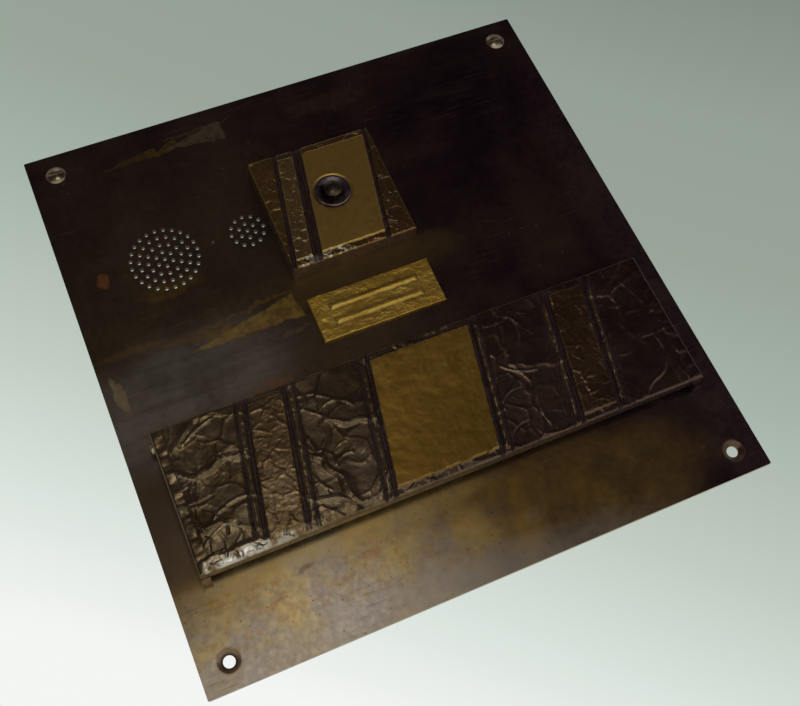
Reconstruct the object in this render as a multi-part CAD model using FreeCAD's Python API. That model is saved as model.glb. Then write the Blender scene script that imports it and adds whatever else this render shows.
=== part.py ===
"""Bronze door plate: letter flap, bell push, speech grilles and name plate.

Frame: X to the right and Z up as seen from the street, the face towards -Y.
The origin is the centre of the base plate's back face, which lies on the door.
"""
import FreeCAD, Part
import math
import os

from FreeCAD import Vector

# ---- base plate ----
PLATE_W = 330.0
PLATE_H = 340.0
PLATE_T = 3.0
PLATE_CORNER_R = 0.8
FIX_X = 149.0
FIX_Z = 155.5
FIX_HOLE_R = 3.25
FIX_SINK_R = 6.1
SINK_HALF_ANGLE = 50.0

# ---- letter aperture ----
SLOT_W = 250.0
SLOT_H = 36.0
SLOT_Z = -76.0
SLOT_CORNER_R = 4.0

# ---- speech grilles ----
GRILLE_PITCH = 5.0
GRILLE_HOLE_R = 1.2
SPEAKER_X = -106.2
SPEAKER_Z = 76.3
SPEAKER_CIRCLES = 4
MIC_X = -54.4
MIC_Z = 77.0
MIC_CIRCLES = 2
PILOT_X = -76.3
PILOT_Z = 77.0
PILOT_R = 0.9

# ---- letter flap ----
FLAP_HALF_W = 148.5
FLAP_TOP_Z = -30.5
FLAP_BOTTOM_Z = -113.5
FLAP_FACE_BACK = 12.0
FLAP_FACE_FRONT = 15.4
FLAP_RELIEF_FRONT = 16.5
FLAP_WALL_T = 5.0
FLAP_LIP = 2.2
FLAP_RETURN_T = 3.0
FLAP_RETURN_BACK = 7.0
FLAP_TOE = 2.5
FLAP_TOE_FRONT = 9.0
PIVOT_OUT = 7.5
PIVOT_Z = -37.5
PIVOT_EYE_R = 7.0

# ---- relief of plain leaning flats and grooves on the castings ----
FLAT_LEAN = 0.2
FLAT_MARGIN = 5.0
FLAP_FLATS = ((-92.0, 20.0), (0.0, 60.0), (92.0, 20.0))
BLOCK_FLATS = ((-25.0, 10.0), (6.0, 40.0))
GROOVE_W = 2.2
THIN_GROOVE_W = 1.4
GROOVE_SPACING = 7.0
GROOVE_DEPTH = 1.1

# ---- hinge lugs, pins and buffers ----
LUG_OUTER_X = 142.8
LUG_EYE_LEN = 11.8
LUG_EYE_R = 4.2
LUG_FOOT_LEN = 35.0
LUG_FOOT_T = 3.0
LUG_FOOT_TOP_Z = -34.0
LUG_FOOT_BOTTOM_Z = -50.0
LUG_SCREW_X = (114.0, 125.0)
LUG_SCREW_Z = -42.0
PIN_R = 2.0
PIN_RUNNING_CLEARANCE = 0.05
PIN_HEAD_R = 3.0
PIN_HEAD_T = 1.6
PIN_HEAD_GAP = 0.2
WASHER_T = 0.5
WASHER_R = 4.0
BUFFER_X = 137.0
BUFFER_Z = -105.0
BUFFER_R = 5.0
BUFFER_T = 3.0
BOSS_R = 4.0
BOSS_GAP = 0.3

# ---- bell block ----
BLOCK_W = 78.0
BLOCK_X = -1.5
BLOCK_Z = 74.3
BLOCK_FRONT = 12.8
BLOCK_RELIEF_FRONT = 14.0
BLOCK_SCREW_PITCH = 60.0
BLOCK_TAP_DEPTH = 8.0
BELL_X = 0.3
BELL_Z = 76.3
BELL_SINK_R = 11.2
BELL_BORE_R = 8.1
BELL_SINK_FLOOR = 7.0
NUT_WELL_R = 11.5
NUT_WELL_DEPTH = 3.5

# ---- bell push insert ----
BEZEL_R = 11.0
BEZEL_FRONT = 15.0
BEZEL_DISH_R = 9.5
BEZEL_DISH_FLOOR = 13.2
BEZEL_BARREL_R = 8.0
BEZEL_LIP_R = 5.6
BEZEL_LIP_BACK = 7.2
BEZEL_RIM_R = 0.9
BEZEL_BORE_R = 6.9
BARREL_END = -15.0
RING_NUT_R = 11.0
RING_NUT_T = 3.5
RING_NUT_NOTCHES = 12
RING_NUT_NOTCH_R = 0.8
BUTTON_HEAD_R = 5.5
BUTTON_TOP = 18.6
BUTTON_CROWN = 1.4
BUTTON_FLANGE_R = 6.75
BUTTON_FLANGE_T = 1.2
BUTTON_FLANGE_GAP = 0.05
BUTTON_STEM_R = 1.8
STEM_END = -1.0
BRIDGE_R = 4.2
BRIDGE_T = 0.6
CARRIER_FRONT = -6.2
CARRIER_BACK = -14.5
CONTACT_TIP = -3.3
CONTACT_TIP_R = 1.6
CONTACT_TIP_T = 0.8
CONTACT_R = 1.2
CONTACT_X = 2.3
CONTACT_END = -19.5
TERMINAL_NUT_R = 2.1
TERMINAL_NUT_T = 2.0
TERMINAL_WASHER_R = 2.2
TERMINAL_WASHER_T = 0.5
SPRING_MEAN_R = 5.5
SPRING_WIRE_R = 0.35
SPRING_TURNS = 6.0

# ---- name plate ----
NAME_W = 77.0
NAME_H = 30.5
NAME_X = -0.5
NAME_Z = 5.0
NAME_T = 2.4
NAME_BAR_T = 0.8
NAME_BAR_H = 3.0
NAME_BAR_W = 54.0
NAME_BAR_Z = (10.0, 0.0)
NAME_SCREW_X = 28.0
NAME_TAP_DEPTH = 1.9

# ---- screws ----
M4_R = 2.0
M4_HEAD_R = 3.9
M3_R = 1.5
M3_HEAD_R = 2.9
CLEARANCE = 0.2
DRIVE_SLOT_W = 0.9
DRIVE_SLOT_DEPTH = 0.8
WOOD_SCREW_R = 2.4
WOOD_SCREW_HEAD_R = 6.0
WOOD_SCREW_DOME = 1.9
WOOD_SCREW_LEN = 25.0
WOOD_SCREW_TIP = 4.0
WOOD_SCREW_SLOT_W = 1.5

ALONG_X = Vector(1, 0, 0)
ALONG_Y = Vector(0, 1, 0)
FAR = 400.0


# ---- helpers ----
def proud(height):
    """Y of a point that stands the given height in front of the plate's face."""
    return -PLATE_T - height


def slab(x, z, width, height, y0, y1):
    """Box centred on (x, z) that fills Y from y0 to y1."""
    corner = Vector(x - width / 2, y0, z - height / 2)
    return Part.makeBox(width, y1 - y0, height, corner)


def disc(x, z, radius, y0, y1):
    """Cylinder along Y."""
    return Part.makeCylinder(radius, y1 - y0, Vector(x, y0, z), ALONG_Y)


def shaft(x0, x1, out, z, radius):
    """Cylinder along X at the given height in front of the plate."""
    return Part.makeCylinder(radius, x1 - x0, Vector(x0, proud(out), z), ALONG_X)


def taper(x, z, radius0, radius1, y0, y1):
    """Cone along Y, radius0 at y0 and radius1 at y1."""
    return Part.makeCone(radius0, radius1, y1 - y0, Vector(x, y0, z), ALONG_Y)


def prism(outline, out0, out1):
    """Solid on an (x, z) outline, between two heights in front of the plate."""
    points = [Vector(x, proud(out1), z) for x, z in outline]
    face = Part.Face(Part.makePolygon(points + points[:1]))
    return face.extrude(Vector(0, out1 - out0, 0))


def leaning_band(x, width, low, high, out0, out1):
    """Upright band that leans to the right; x is its middle halfway between low and high."""
    shift = FLAT_LEAN * (high - low) / 2
    half = width / 2
    outline = [
        (x - shift - half, low),
        (x - shift + half, low),
        (x + shift + half, high),
        (x + shift - half, high),
    ]
    return prism(outline, out0, out1)


def leaning_groove(x, width, low, high, floor):
    """Cutter for a groove of the relief, run past both ends of the face."""
    return leaning_band(x, width, low - 1, high + 1, floor, FLAP_RELIEF_FRONT + 1)


def side_grooves(x, width, low, high, floor):
    """Cutters for a wide groove beside a flat and a narrow one further out, on both sides."""
    cutters = []
    for side in (-1, 1):
        near = side * (width + GROOVE_W) / 2
        far = side * (width / 2 + GROOVE_SPACING)
        cutters.append(leaning_groove(x + near, GROOVE_W, low, high, floor))
        cutters.append(leaning_groove(x + far, THIN_GROOVE_W, low, high, floor))
    return cutters


def both_sides(make):
    """The same feature on the right (side +1) and on the left (side -1)."""
    return [make(side) for side in (1, -1)]


def fused(shapes):
    """One shape out of several that touch or overlap."""
    return shapes[0].multiFuse(shapes[1:]).removeSplitter()


def span(side, near, far):
    """Lower and upper X of a stretch given by its distances from the middle."""
    return (near, far) if side > 0 else (-far, -near)


def hole_circles(x, z, circles):
    """Hole centres on evenly spaced circles, each with six more holes than the last."""
    centres = [(x, z)]
    for circle in range(1, circles + 1):
        radius = circle * GRILLE_PITCH
        count = 6 * circle
        for step in range(count):
            angle = math.pi / 2 + 2 * math.pi * step / count
            centres.append((x + radius * math.cos(angle), z + radius * math.sin(angle)))
    return centres


def flush_screw(x, z, radius, head_radius, length):
    """Countersunk screw put in from the back, its head flush with the plate's back."""
    head_depth = head_radius - radius
    head = taper(x, z, radius, head_radius, -head_depth, 0.0)
    body = disc(x, z, radius, -length, -head_depth)
    slot = slab(x, z, head_radius * 2.2, DRIVE_SLOT_W, -DRIVE_SLOT_DEPTH, 1.0)
    return head.fuse(body).removeSplitter().cut(slot)


def flush_screw_hole(x, z, radius, head_radius):
    """Clearance hole with a countersink in the plate's back."""
    hole = disc(x, z, radius + CLEARANCE, -PLATE_T - 1, 1.0)
    depth = head_radius - radius
    sink = taper(x, z, radius, head_radius, -depth, 0.0)
    return hole.fuse(sink)


def sink_depth(wide_r, narrow_r):
    """Length of a wood screw's countersink between two radii."""
    return (wide_r - narrow_r) / math.tan(math.radians(SINK_HALF_ANGLE))


def wood_screw(x, z):
    """Raised countersunk wood screw, slotted, put in from the front."""
    face = proud(0.0)
    head_depth = sink_depth(WOOD_SCREW_HEAD_R, WOOD_SCREW_R)
    head = taper(x, z, WOOD_SCREW_HEAD_R, WOOD_SCREW_R, face, face + head_depth)
    crown = dome(x, z, WOOD_SCREW_HEAD_R, face, WOOD_SCREW_DOME)
    tip_y = face + WOOD_SCREW_LEN
    body = disc(x, z, WOOD_SCREW_R, face + head_depth, tip_y - WOOD_SCREW_TIP)
    tip = taper(x, z, WOOD_SCREW_R, 0.3, tip_y - WOOD_SCREW_TIP, tip_y)
    slot_floor = face - WOOD_SCREW_DOME / 4
    slot = slab(x, z, FAR, WOOD_SCREW_SLOT_W, face - WOOD_SCREW_DOME - 1, slot_floor)
    return fused([head, crown, body, tip]).cut(slot)


def dome(x, z, radius, base_y, rise):
    """Spherical cap of the given rise, standing on base_y and pointing to the front."""
    sphere_r = (radius * radius + rise * rise) / (2 * rise)
    centre = Vector(x, base_y - rise + sphere_r, z)
    sphere = Part.makeSphere(sphere_r, centre, Vector(0, 1, 0))
    keep = slab(x, z, 4 * radius, 4 * radius, base_y - rise - 1, base_y)
    return sphere.common(keep)


# ---- base plate ----
def letter_aperture():
    """Rounded cutter for the letter aperture."""
    cutter = slab(0.0, SLOT_Z, SLOT_W, SLOT_H, -PLATE_T - 1, 1.0)
    edges = [e for e in cutter.Edges if abs(e.tangentAt(e.FirstParameter).y) > 0.99]
    return cutter.makeFillet(SLOT_CORNER_R, edges)


def block_screw_places():
    """Positions of the four screws that hold the bell block."""
    half = BLOCK_SCREW_PITCH / 2
    return [(BLOCK_X + sx * half, BLOCK_Z + sz * half) for sx in (-1, 1) for sz in (-1, 1)]


def lug_screw_places():
    """Positions of the four screws that hold the two hinge lugs."""
    return [(side * x, LUG_SCREW_Z) for side in (-1, 1) for x in LUG_SCREW_X]


def name_screw_places():
    """Positions of the two screws that hold the name plate."""
    return [(NAME_X - NAME_SCREW_X, NAME_Z), (NAME_X + NAME_SCREW_X, NAME_Z)]


def fixing_hole(x, z):
    """Countersunk hole for a wood screw."""
    hole = disc(x, z, FIX_HOLE_R, -PLATE_T - 1, 1.0)
    depth = sink_depth(FIX_SINK_R, FIX_HOLE_R)
    return hole.fuse(taper(x, z, FIX_SINK_R, FIX_HOLE_R, -PLATE_T, -PLATE_T + depth))


def make_base_plate():
    """Rolled bronze sheet with the aperture, grilles and screw holes."""
    plate = slab(0.0, 0.0, PLATE_W, PLATE_H, -PLATE_T, 0.0)
    edges = [e for e in plate.Edges if abs(e.tangentAt(e.FirstParameter).y) > 0.99]
    plate = plate.makeFillet(PLATE_CORNER_R, edges)
    cutters = [letter_aperture()]
    cutters += [fixing_hole(sx * FIX_X, sz * FIX_Z) for sx in (-1, 1) for sz in (-1, 1)]
    grille = hole_circles(SPEAKER_X, SPEAKER_Z, SPEAKER_CIRCLES)
    grille += hole_circles(MIC_X, MIC_Z, MIC_CIRCLES)
    cutters += [disc(x, z, GRILLE_HOLE_R, -PLATE_T - 1, 1.0) for x, z in grille]
    cutters.append(disc(PILOT_X, PILOT_Z, PILOT_R, -PLATE_T - 1, 1.0))
    cutters.append(disc(BELL_X, BELL_Z, NUT_WELL_R, -PLATE_T - 1, 1.0))
    for x, z in block_screw_places() + lug_screw_places():
        cutters.append(flush_screw_hole(x, z, M4_R, M4_HEAD_R))
    for x, z in name_screw_places():
        cutters.append(flush_screw_hole(x, z, M3_R, M3_HEAD_R))
    return plate.cut(cutters)


# ---- letter flap ----
def flap_cheek(side):
    """Side wall with the rounded hinge eye at its top and the toe at its foot."""
    x0, x1 = span(side, FLAP_HALF_W - FLAP_WALL_T, FLAP_HALF_W)
    back = PIVOT_OUT - PIVOT_EYE_R
    eye = shaft(x0, x1, PIVOT_OUT, PIVOT_Z, PIVOT_EYE_R)
    wall_h = PIVOT_Z - FLAP_BOTTOM_Z
    middle = (x0 + x1) / 2
    wall = slab(middle, PIVOT_Z - wall_h / 2, FLAP_WALL_T, wall_h,
                proud(FLAP_FACE_FRONT), proud(back))
    top_h = FLAP_TOP_Z - PIVOT_Z
    top = slab(middle, PIVOT_Z + top_h / 2, FLAP_WALL_T, top_h,
               proud(FLAP_FACE_FRONT), proud(PIVOT_OUT))
    toe = slab(middle, FLAP_BOTTOM_Z - FLAP_TOE / 2, FLAP_WALL_T, FLAP_TOE,
               proud(FLAP_TOE_FRONT), proud(back))
    return fused([eye, wall, top, toe])


def flap_boss(side):
    """Post inside the flap that lands on a rubber buffer."""
    back = BUFFER_T + BOSS_GAP
    return disc(side * BUFFER_X, BUFFER_Z, BOSS_R, proud(FLAP_FACE_BACK + 1), proud(back))


def flap_flats():
    """Raised flats on the flap's face, the widest in the middle."""
    low = FLAP_BOTTOM_Z + FLAT_MARGIN
    high = FLAP_TOP_Z - FLAT_MARGIN
    return [leaning_band(x, width, low, high, FLAP_FACE_FRONT - 1, FLAP_RELIEF_FRONT)
            for x, width in FLAP_FLATS]


def flap_grooves():
    """A wide and a narrow groove along both sides of each flat on the flap."""
    floor = FLAP_FACE_FRONT - GROOVE_DEPTH
    cutters = []
    for x, width in FLAP_FLATS:
        cutters += side_grooves(x, width, FLAP_BOTTOM_Z, FLAP_TOP_Z, floor)
    return cutters


def lip_bevel():
    """Cutter that bevels the flap's lower front edge."""
    y = proud(FLAP_FACE_FRONT)
    z = FLAP_BOTTOM_Z
    x = -FLAP_HALF_W - 1
    points = [Vector(x, y - 3, z - 1), Vector(x, y - 3, z + FLAP_LIP), Vector(x, y, z + FLAP_LIP),
              Vector(x, y + FLAP_LIP, z), Vector(x, y + FLAP_LIP, z - 1)]
    face = Part.Face(Part.makePolygon(points + points[:1]))
    return face.extrude(Vector(2 * FLAP_HALF_W + 2, 0, 0))


def make_letter_flap():
    """Cast bronze flap: face, lower return, two side walls with hinge eyes, landing posts."""
    height = FLAP_TOP_Z - FLAP_BOTTOM_Z
    face = slab(0.0, FLAP_BOTTOM_Z + height / 2, 2 * FLAP_HALF_W, height,
                proud(FLAP_FACE_FRONT), proud(FLAP_FACE_BACK))
    lower_return = slab(0.0, FLAP_BOTTOM_Z + FLAP_RETURN_T / 2, 2 * FLAP_HALF_W, FLAP_RETURN_T,
                        proud(FLAP_FACE_FRONT), proud(FLAP_RETURN_BACK))
    shapes = [face, lower_return] + both_sides(flap_cheek) + both_sides(flap_boss) + flap_flats()
    flap = fused(shapes)
    bore_r = PIN_R + PIN_RUNNING_CLEARANCE
    bore = shaft(-FLAP_HALF_W - 1, FLAP_HALF_W + 1, PIVOT_OUT, PIVOT_Z, bore_r)
    return flap.cut([bore, lip_bevel()] + flap_grooves())


# ---- hinge ----
def make_hinge_lug(side):
    """Cast lug: a foot screwed to the plate and an eye for the hinge pin."""
    foot_x0, foot_x1 = span(side, LUG_OUTER_X - LUG_FOOT_LEN, LUG_OUTER_X)
    eye_x0, eye_x1 = span(side, LUG_OUTER_X - LUG_EYE_LEN, LUG_OUTER_X)
    foot_h = LUG_FOOT_TOP_Z - LUG_FOOT_BOTTOM_Z
    foot = slab((foot_x0 + foot_x1) / 2, LUG_FOOT_BOTTOM_Z + foot_h / 2, LUG_FOOT_LEN, foot_h,
                proud(LUG_FOOT_T), proud(0.0))
    neck = slab((eye_x0 + eye_x1) / 2, PIVOT_Z, LUG_EYE_LEN, 2 * LUG_EYE_R,
                proud(PIVOT_OUT), proud(LUG_FOOT_T / 2))
    neck = neck.cut(slab(0.0, LUG_FOOT_TOP_Z + 5, FAR, 10.0, proud(LUG_FOOT_T), proud(0.0)))
    eye = shaft(eye_x0, eye_x1, PIVOT_OUT, PIVOT_Z, LUG_EYE_R)
    bore = shaft(eye_x0 - 1, eye_x1 + 1, PIVOT_OUT, PIVOT_Z, PIN_R)
    taps = [disc(side * x, LUG_SCREW_Z, M4_R, proud(LUG_FOOT_T + 1), 0.0) for x in LUG_SCREW_X]
    return fused([foot, neck, eye]).cut([bore] + taps)


def make_hinge_pin(side):
    """Headed pin, pressed into the lug; the flap's wall turns on it."""
    inner = LUG_OUTER_X - LUG_EYE_LEN + 0.5
    shoulder = FLAP_HALF_W + PIN_HEAD_GAP
    shank_x0, shank_x1 = span(side, inner, shoulder)
    head_x0, head_x1 = span(side, shoulder, shoulder + PIN_HEAD_T)
    shank = shaft(shank_x0, shank_x1, PIVOT_OUT, PIVOT_Z, PIN_R)
    head = shaft(head_x0, head_x1, PIVOT_OUT, PIVOT_Z, PIN_HEAD_R)
    rim_x = head_x1 if side > 0 else head_x0
    rim = [e for e in head.Edges if abs(e.CenterOfMass.x - rim_x) < 0.01]
    head = head.makeFillet(PIN_HEAD_T * 0.6, rim)
    return fused([shank, head])


def make_washer(side):
    """Thin brass washer between a lug and the flap's wall."""
    x0, x1 = span(side, LUG_OUTER_X, LUG_OUTER_X + WASHER_T)
    ring = shaft(x0, x1, PIVOT_OUT, PIVOT_Z, WASHER_R)
    return ring.cut(shaft(x0 - 1, x1 + 1, PIVOT_OUT, PIVOT_Z, PIN_R))


def make_buffer(side):
    """Rubber pad stuck to the plate under the flap's post."""
    pad = disc(side * BUFFER_X, BUFFER_Z, BUFFER_R, proud(BUFFER_T), proud(0.0))
    rim = [e for e in pad.Edges if abs(e.CenterOfMass.y - proud(BUFFER_T)) < 0.01]
    return pad.makeFillet(0.8, rim)


# ---- bell block ----
def block_flats():
    """Raised flats on the bell block: a wide one round the bell push, a narrow one beside it."""
    low = BLOCK_Z - BLOCK_W / 2 + FLAT_MARGIN
    high = BLOCK_Z + BLOCK_W / 2 - FLAT_MARGIN
    return [leaning_band(x, width, low, high, BLOCK_FRONT - 1, BLOCK_RELIEF_FRONT)
            for x, width in BLOCK_FLATS]


def block_grooves():
    """A groove along both sides of each flat on the bell block."""
    floor = BLOCK_FRONT - GROOVE_DEPTH
    low = BLOCK_Z - BLOCK_W / 2
    high = BLOCK_Z + BLOCK_W / 2
    cutters = []
    for x, width in BLOCK_FLATS:
        for side in (-1, 1):
            offset = side * (width + GROOVE_W) / 2
            cutters.append(leaning_groove(x + offset, GROOVE_W, low, high, floor))
    return cutters


def make_bell_block():
    """Cast bronze block, bored and stepped for the bell push."""
    block = slab(BLOCK_X, BLOCK_Z, BLOCK_W, BLOCK_W, proud(BLOCK_FRONT), proud(0.0))
    block = fused([block] + block_flats())
    cutters = [
        disc(BELL_X, BELL_Z, BELL_SINK_R, proud(BLOCK_RELIEF_FRONT + 1), proud(BELL_SINK_FLOOR)),
        disc(BELL_X, BELL_Z, BELL_BORE_R, proud(BLOCK_RELIEF_FRONT), proud(-1.0)),
        disc(BELL_X, BELL_Z, NUT_WELL_R, proud(NUT_WELL_DEPTH), proud(-1.0)),
    ]
    for x, z in block_screw_places():
        cutters.append(disc(x, z, M4_R, proud(BLOCK_TAP_DEPTH), proud(-1.0)))
    return block.cut(cutters + block_grooves())


# ---- bell push insert ----
def make_bell_bezel():
    """Flanged barrel that the button slides in, with a shallow dish round the button."""
    flange = disc(BELL_X, BELL_Z, BEZEL_R, proud(BEZEL_FRONT), proud(BELL_SINK_FLOOR))
    rim = [e for e in flange.Edges if abs(e.CenterOfMass.y - proud(BEZEL_FRONT)) < 0.01]
    flange = flange.makeFillet(BEZEL_RIM_R, rim)
    barrel = disc(BELL_X, BELL_Z, BEZEL_BARREL_R, proud(BELL_SINK_FLOOR), proud(BARREL_END))
    lip = disc(BELL_X, BELL_Z, BEZEL_LIP_R, proud(BEZEL_FRONT + 1), proud(BEZEL_LIP_BACK - 1))
    bore = disc(BELL_X, BELL_Z, BEZEL_BORE_R, proud(BEZEL_LIP_BACK), proud(BARREL_END - 1))
    dish = taper(BELL_X, BELL_Z, BEZEL_DISH_R, BEZEL_LIP_R,
                 proud(BEZEL_FRONT), proud(BEZEL_DISH_FLOOR))
    return flange.fuse(barrel).removeSplitter().cut([lip, bore, dish])


def make_bell_ring_nut():
    """Notched ring nut that clamps the barrel, sunk into the back of the block."""
    front = proud(NUT_WELL_DEPTH)
    back = proud(NUT_WELL_DEPTH - RING_NUT_T)
    nut = disc(BELL_X, BELL_Z, RING_NUT_R, front, back)
    cutters = [disc(BELL_X, BELL_Z, BEZEL_BARREL_R, front - 1, back + 1)]
    for step in range(RING_NUT_NOTCHES):
        angle = 2 * math.pi * step / RING_NUT_NOTCHES
        x = BELL_X + RING_NUT_R * math.cos(angle)
        z = BELL_Z + RING_NUT_R * math.sin(angle)
        cutters.append(disc(x, z, RING_NUT_NOTCH_R, front - 1, back + 1))
    return nut.cut(cutters)


def make_bell_button():
    """Domed button, proud of the bezel, with its retaining flange and stem."""
    flange_front = BEZEL_LIP_BACK - BUTTON_FLANGE_GAP
    flange_back = flange_front - BUTTON_FLANGE_T
    rim = BUTTON_TOP - BUTTON_CROWN
    head = disc(BELL_X, BELL_Z, BUTTON_HEAD_R, proud(rim), proud(flange_front))
    crown = dome(BELL_X, BELL_Z, BUTTON_HEAD_R, proud(rim), BUTTON_CROWN)
    flange = disc(BELL_X, BELL_Z, BUTTON_FLANGE_R, proud(flange_front), proud(flange_back))
    stem = disc(BELL_X, BELL_Z, BUTTON_STEM_R, proud(flange_back), proud(STEM_END))
    return fused([head, crown, flange, stem])


def make_bell_bridge():
    """Copper disc on the end of the button's stem."""
    return disc(BELL_X, BELL_Z, BRIDGE_R, proud(STEM_END), proud(STEM_END - BRIDGE_T))


def make_bell_spring():
    """Coil spring between the button's flange and the contact carrier."""
    top = BEZEL_LIP_BACK - BUTTON_FLANGE_GAP - BUTTON_FLANGE_T - SPRING_WIRE_R
    foot = CARRIER_FRONT + SPRING_WIRE_R
    pitch = (top - foot) / SPRING_TURNS
    helix = Part.makeHelix(pitch, top - foot, SPRING_MEAN_R)
    start = Vector(SPRING_MEAN_R, 0, 0)
    profile = Part.Wire([Part.makeCircle(SPRING_WIRE_R, start, Vector(0, 1, 0))])
    coil = Part.Wire(helix.Edges).makePipeShell([profile], True, True)
    coil.rotate(Vector(0, 0, 0), Vector(1, 0, 0), 90)
    coil.translate(Vector(BELL_X, proud(foot), BELL_Z))
    return coil


def make_contact_carrier():
    """Moulded insulator plug in the back of the barrel."""
    plug = disc(BELL_X, BELL_Z, BEZEL_BORE_R, proud(CARRIER_FRONT), proud(CARRIER_BACK))
    posts = [disc(BELL_X + sx * CONTACT_X, BELL_Z, CONTACT_R, proud(CARRIER_FRONT + 1),
                  proud(CARRIER_BACK - 1)) for sx in (-1, 1)]
    return plug.cut(posts)


def contact_post(sx):
    """Contact stud with a broad tip."""
    x = BELL_X + sx * CONTACT_X
    tip = disc(x, BELL_Z, CONTACT_TIP_R, proud(CONTACT_TIP), proud(CONTACT_TIP - CONTACT_TIP_T))
    stud = disc(x, BELL_Z, CONTACT_R, proud(CONTACT_TIP - CONTACT_TIP_T), proud(CONTACT_END))
    return tip.fuse(stud).removeSplitter()


def terminal_washer(sx):
    """Washer under a terminal nut."""
    x = BELL_X + sx * CONTACT_X
    back = CARRIER_BACK - TERMINAL_WASHER_T
    ring = disc(x, BELL_Z, TERMINAL_WASHER_R, proud(CARRIER_BACK), proud(back))
    return ring.cut(disc(x, BELL_Z, CONTACT_R, proud(CARRIER_BACK + 1), proud(back - 1)))


def terminal_nut(sx):
    """Hexagon nut that clamps a bell wire to its contact stud."""
    x = BELL_X + sx * CONTACT_X
    front = CARRIER_BACK - TERMINAL_WASHER_T
    back = front - TERMINAL_NUT_T
    corners = []
    for step in range(6):
        angle = math.radians(60 * step + 30)
        corners.append((x + TERMINAL_NUT_R * math.cos(angle),
                        BELL_Z + TERMINAL_NUT_R * math.sin(angle)))
    nut = prism(corners, back, front)
    return nut.cut(disc(x, BELL_Z, CONTACT_R, proud(front + 1), proud(back - 1)))


# ---- name plate ----
def name_bar(z):
    """Plain raised bar across the name plate."""
    bar = slab(NAME_X, z, NAME_BAR_W, NAME_BAR_H, proud(NAME_T + NAME_BAR_T), proud(NAME_T - 0.5))
    front = proud(NAME_T + NAME_BAR_T)
    rim = [e for e in bar.Edges if abs(e.CenterOfMass.y - front) < 0.01]
    return bar.makeFillet(NAME_BAR_T / 2, rim)


def make_name_plate():
    """Cast brass plate with two raised bars, tapped from behind."""
    plate = slab(NAME_X, NAME_Z, NAME_W, NAME_H, proud(NAME_T), proud(0.0))
    corners = [e for e in plate.Edges if abs(e.tangentAt(e.FirstParameter).y) > 0.99]
    plate = plate.makeFillet(0.8, corners)
    plate = fused([plate] + [name_bar(z) for z in NAME_BAR_Z])
    taps = [disc(x, z, M3_R, proud(NAME_TAP_DEPTH), 0.0) for x, z in name_screw_places()]
    return plate.cut(taps)


# ---- screws that hold pieces to the plate ----
def make_block_screws():
    """Four countersunk screws from the back into the bell block."""
    length = PLATE_T + BLOCK_TAP_DEPTH - 0.5
    return [flush_screw(x, z, M4_R, M4_HEAD_R, length) for x, z in block_screw_places()]


def make_lug_screws():
    """Four countersunk screws from the back into the hinge lugs."""
    length = PLATE_T + LUG_FOOT_T - 0.2
    return [flush_screw(x, z, M4_R, M4_HEAD_R, length) for x, z in lug_screw_places()]


def make_name_screws():
    """Two countersunk screws from the back into the name plate."""
    length = PLATE_T + NAME_TAP_DEPTH - 0.2
    return [flush_screw(x, z, M3_R, M3_HEAD_R, length) for x, z in name_screw_places()]


def save(node, shapes):
    """Write one node; identical pieces share it as separate solids."""
    shape = shapes[0] if len(shapes) == 1 else Part.makeCompound(shapes)
    shape.exportStep(os.path.join("parts", node + ".step"))
    volume = sum(solid.Volume for solid in shape.Solids)
    print(node, len(shape.Solids), "solids", round(volume, 2), "mm3", shape.isValid())


def main():
    """Write every piece."""
    os.makedirs("parts", exist_ok=True)
    save("base_plate", [make_base_plate()])
    save("letter_flap", [make_letter_flap()])
    save("hinge_lug_right", [make_hinge_lug(1)])
    save("hinge_lug_left", [make_hinge_lug(-1)])
    save("hinge_pin_right", [make_hinge_pin(1)])
    save("hinge_pin_left", [make_hinge_pin(-1)])
    save("hinge_washers", both_sides(make_washer))
    save("lug_screws", make_lug_screws())
    save("flap_buffer_right", [make_buffer(1)])
    save("flap_buffer_left", [make_buffer(-1)])
    save("bell_block", [make_bell_block()])
    save("block_screws", make_block_screws())
    save("bell_bezel", [make_bell_bezel()])
    save("bell_ring_nut", [make_bell_ring_nut()])
    save("bell_button", [make_bell_button()])
    save("bell_bridge", [make_bell_bridge()])
    save("bell_spring", [make_bell_spring()])
    save("bell_carrier", [make_contact_carrier()])
    save("bell_contacts", both_sides(contact_post))
    save("terminal_washers", both_sides(terminal_washer))
    save("terminal_nuts", both_sides(terminal_nut))
    save("name_plate", [make_name_plate()])
    save("name_plate_screws", make_name_screws())
    save("fixing_screw_right", [wood_screw(FIX_X, FIX_Z)])
    save("fixing_screw_left", [wood_screw(-FIX_X, FIX_Z)])


main()
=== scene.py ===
"""Looks of a bronze door plate with a letter flap, a bell push, grilles and a name plate."""

import math

import bmesh
import bpy
import numpy as np
from mathutils import Matrix, Vector


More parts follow.
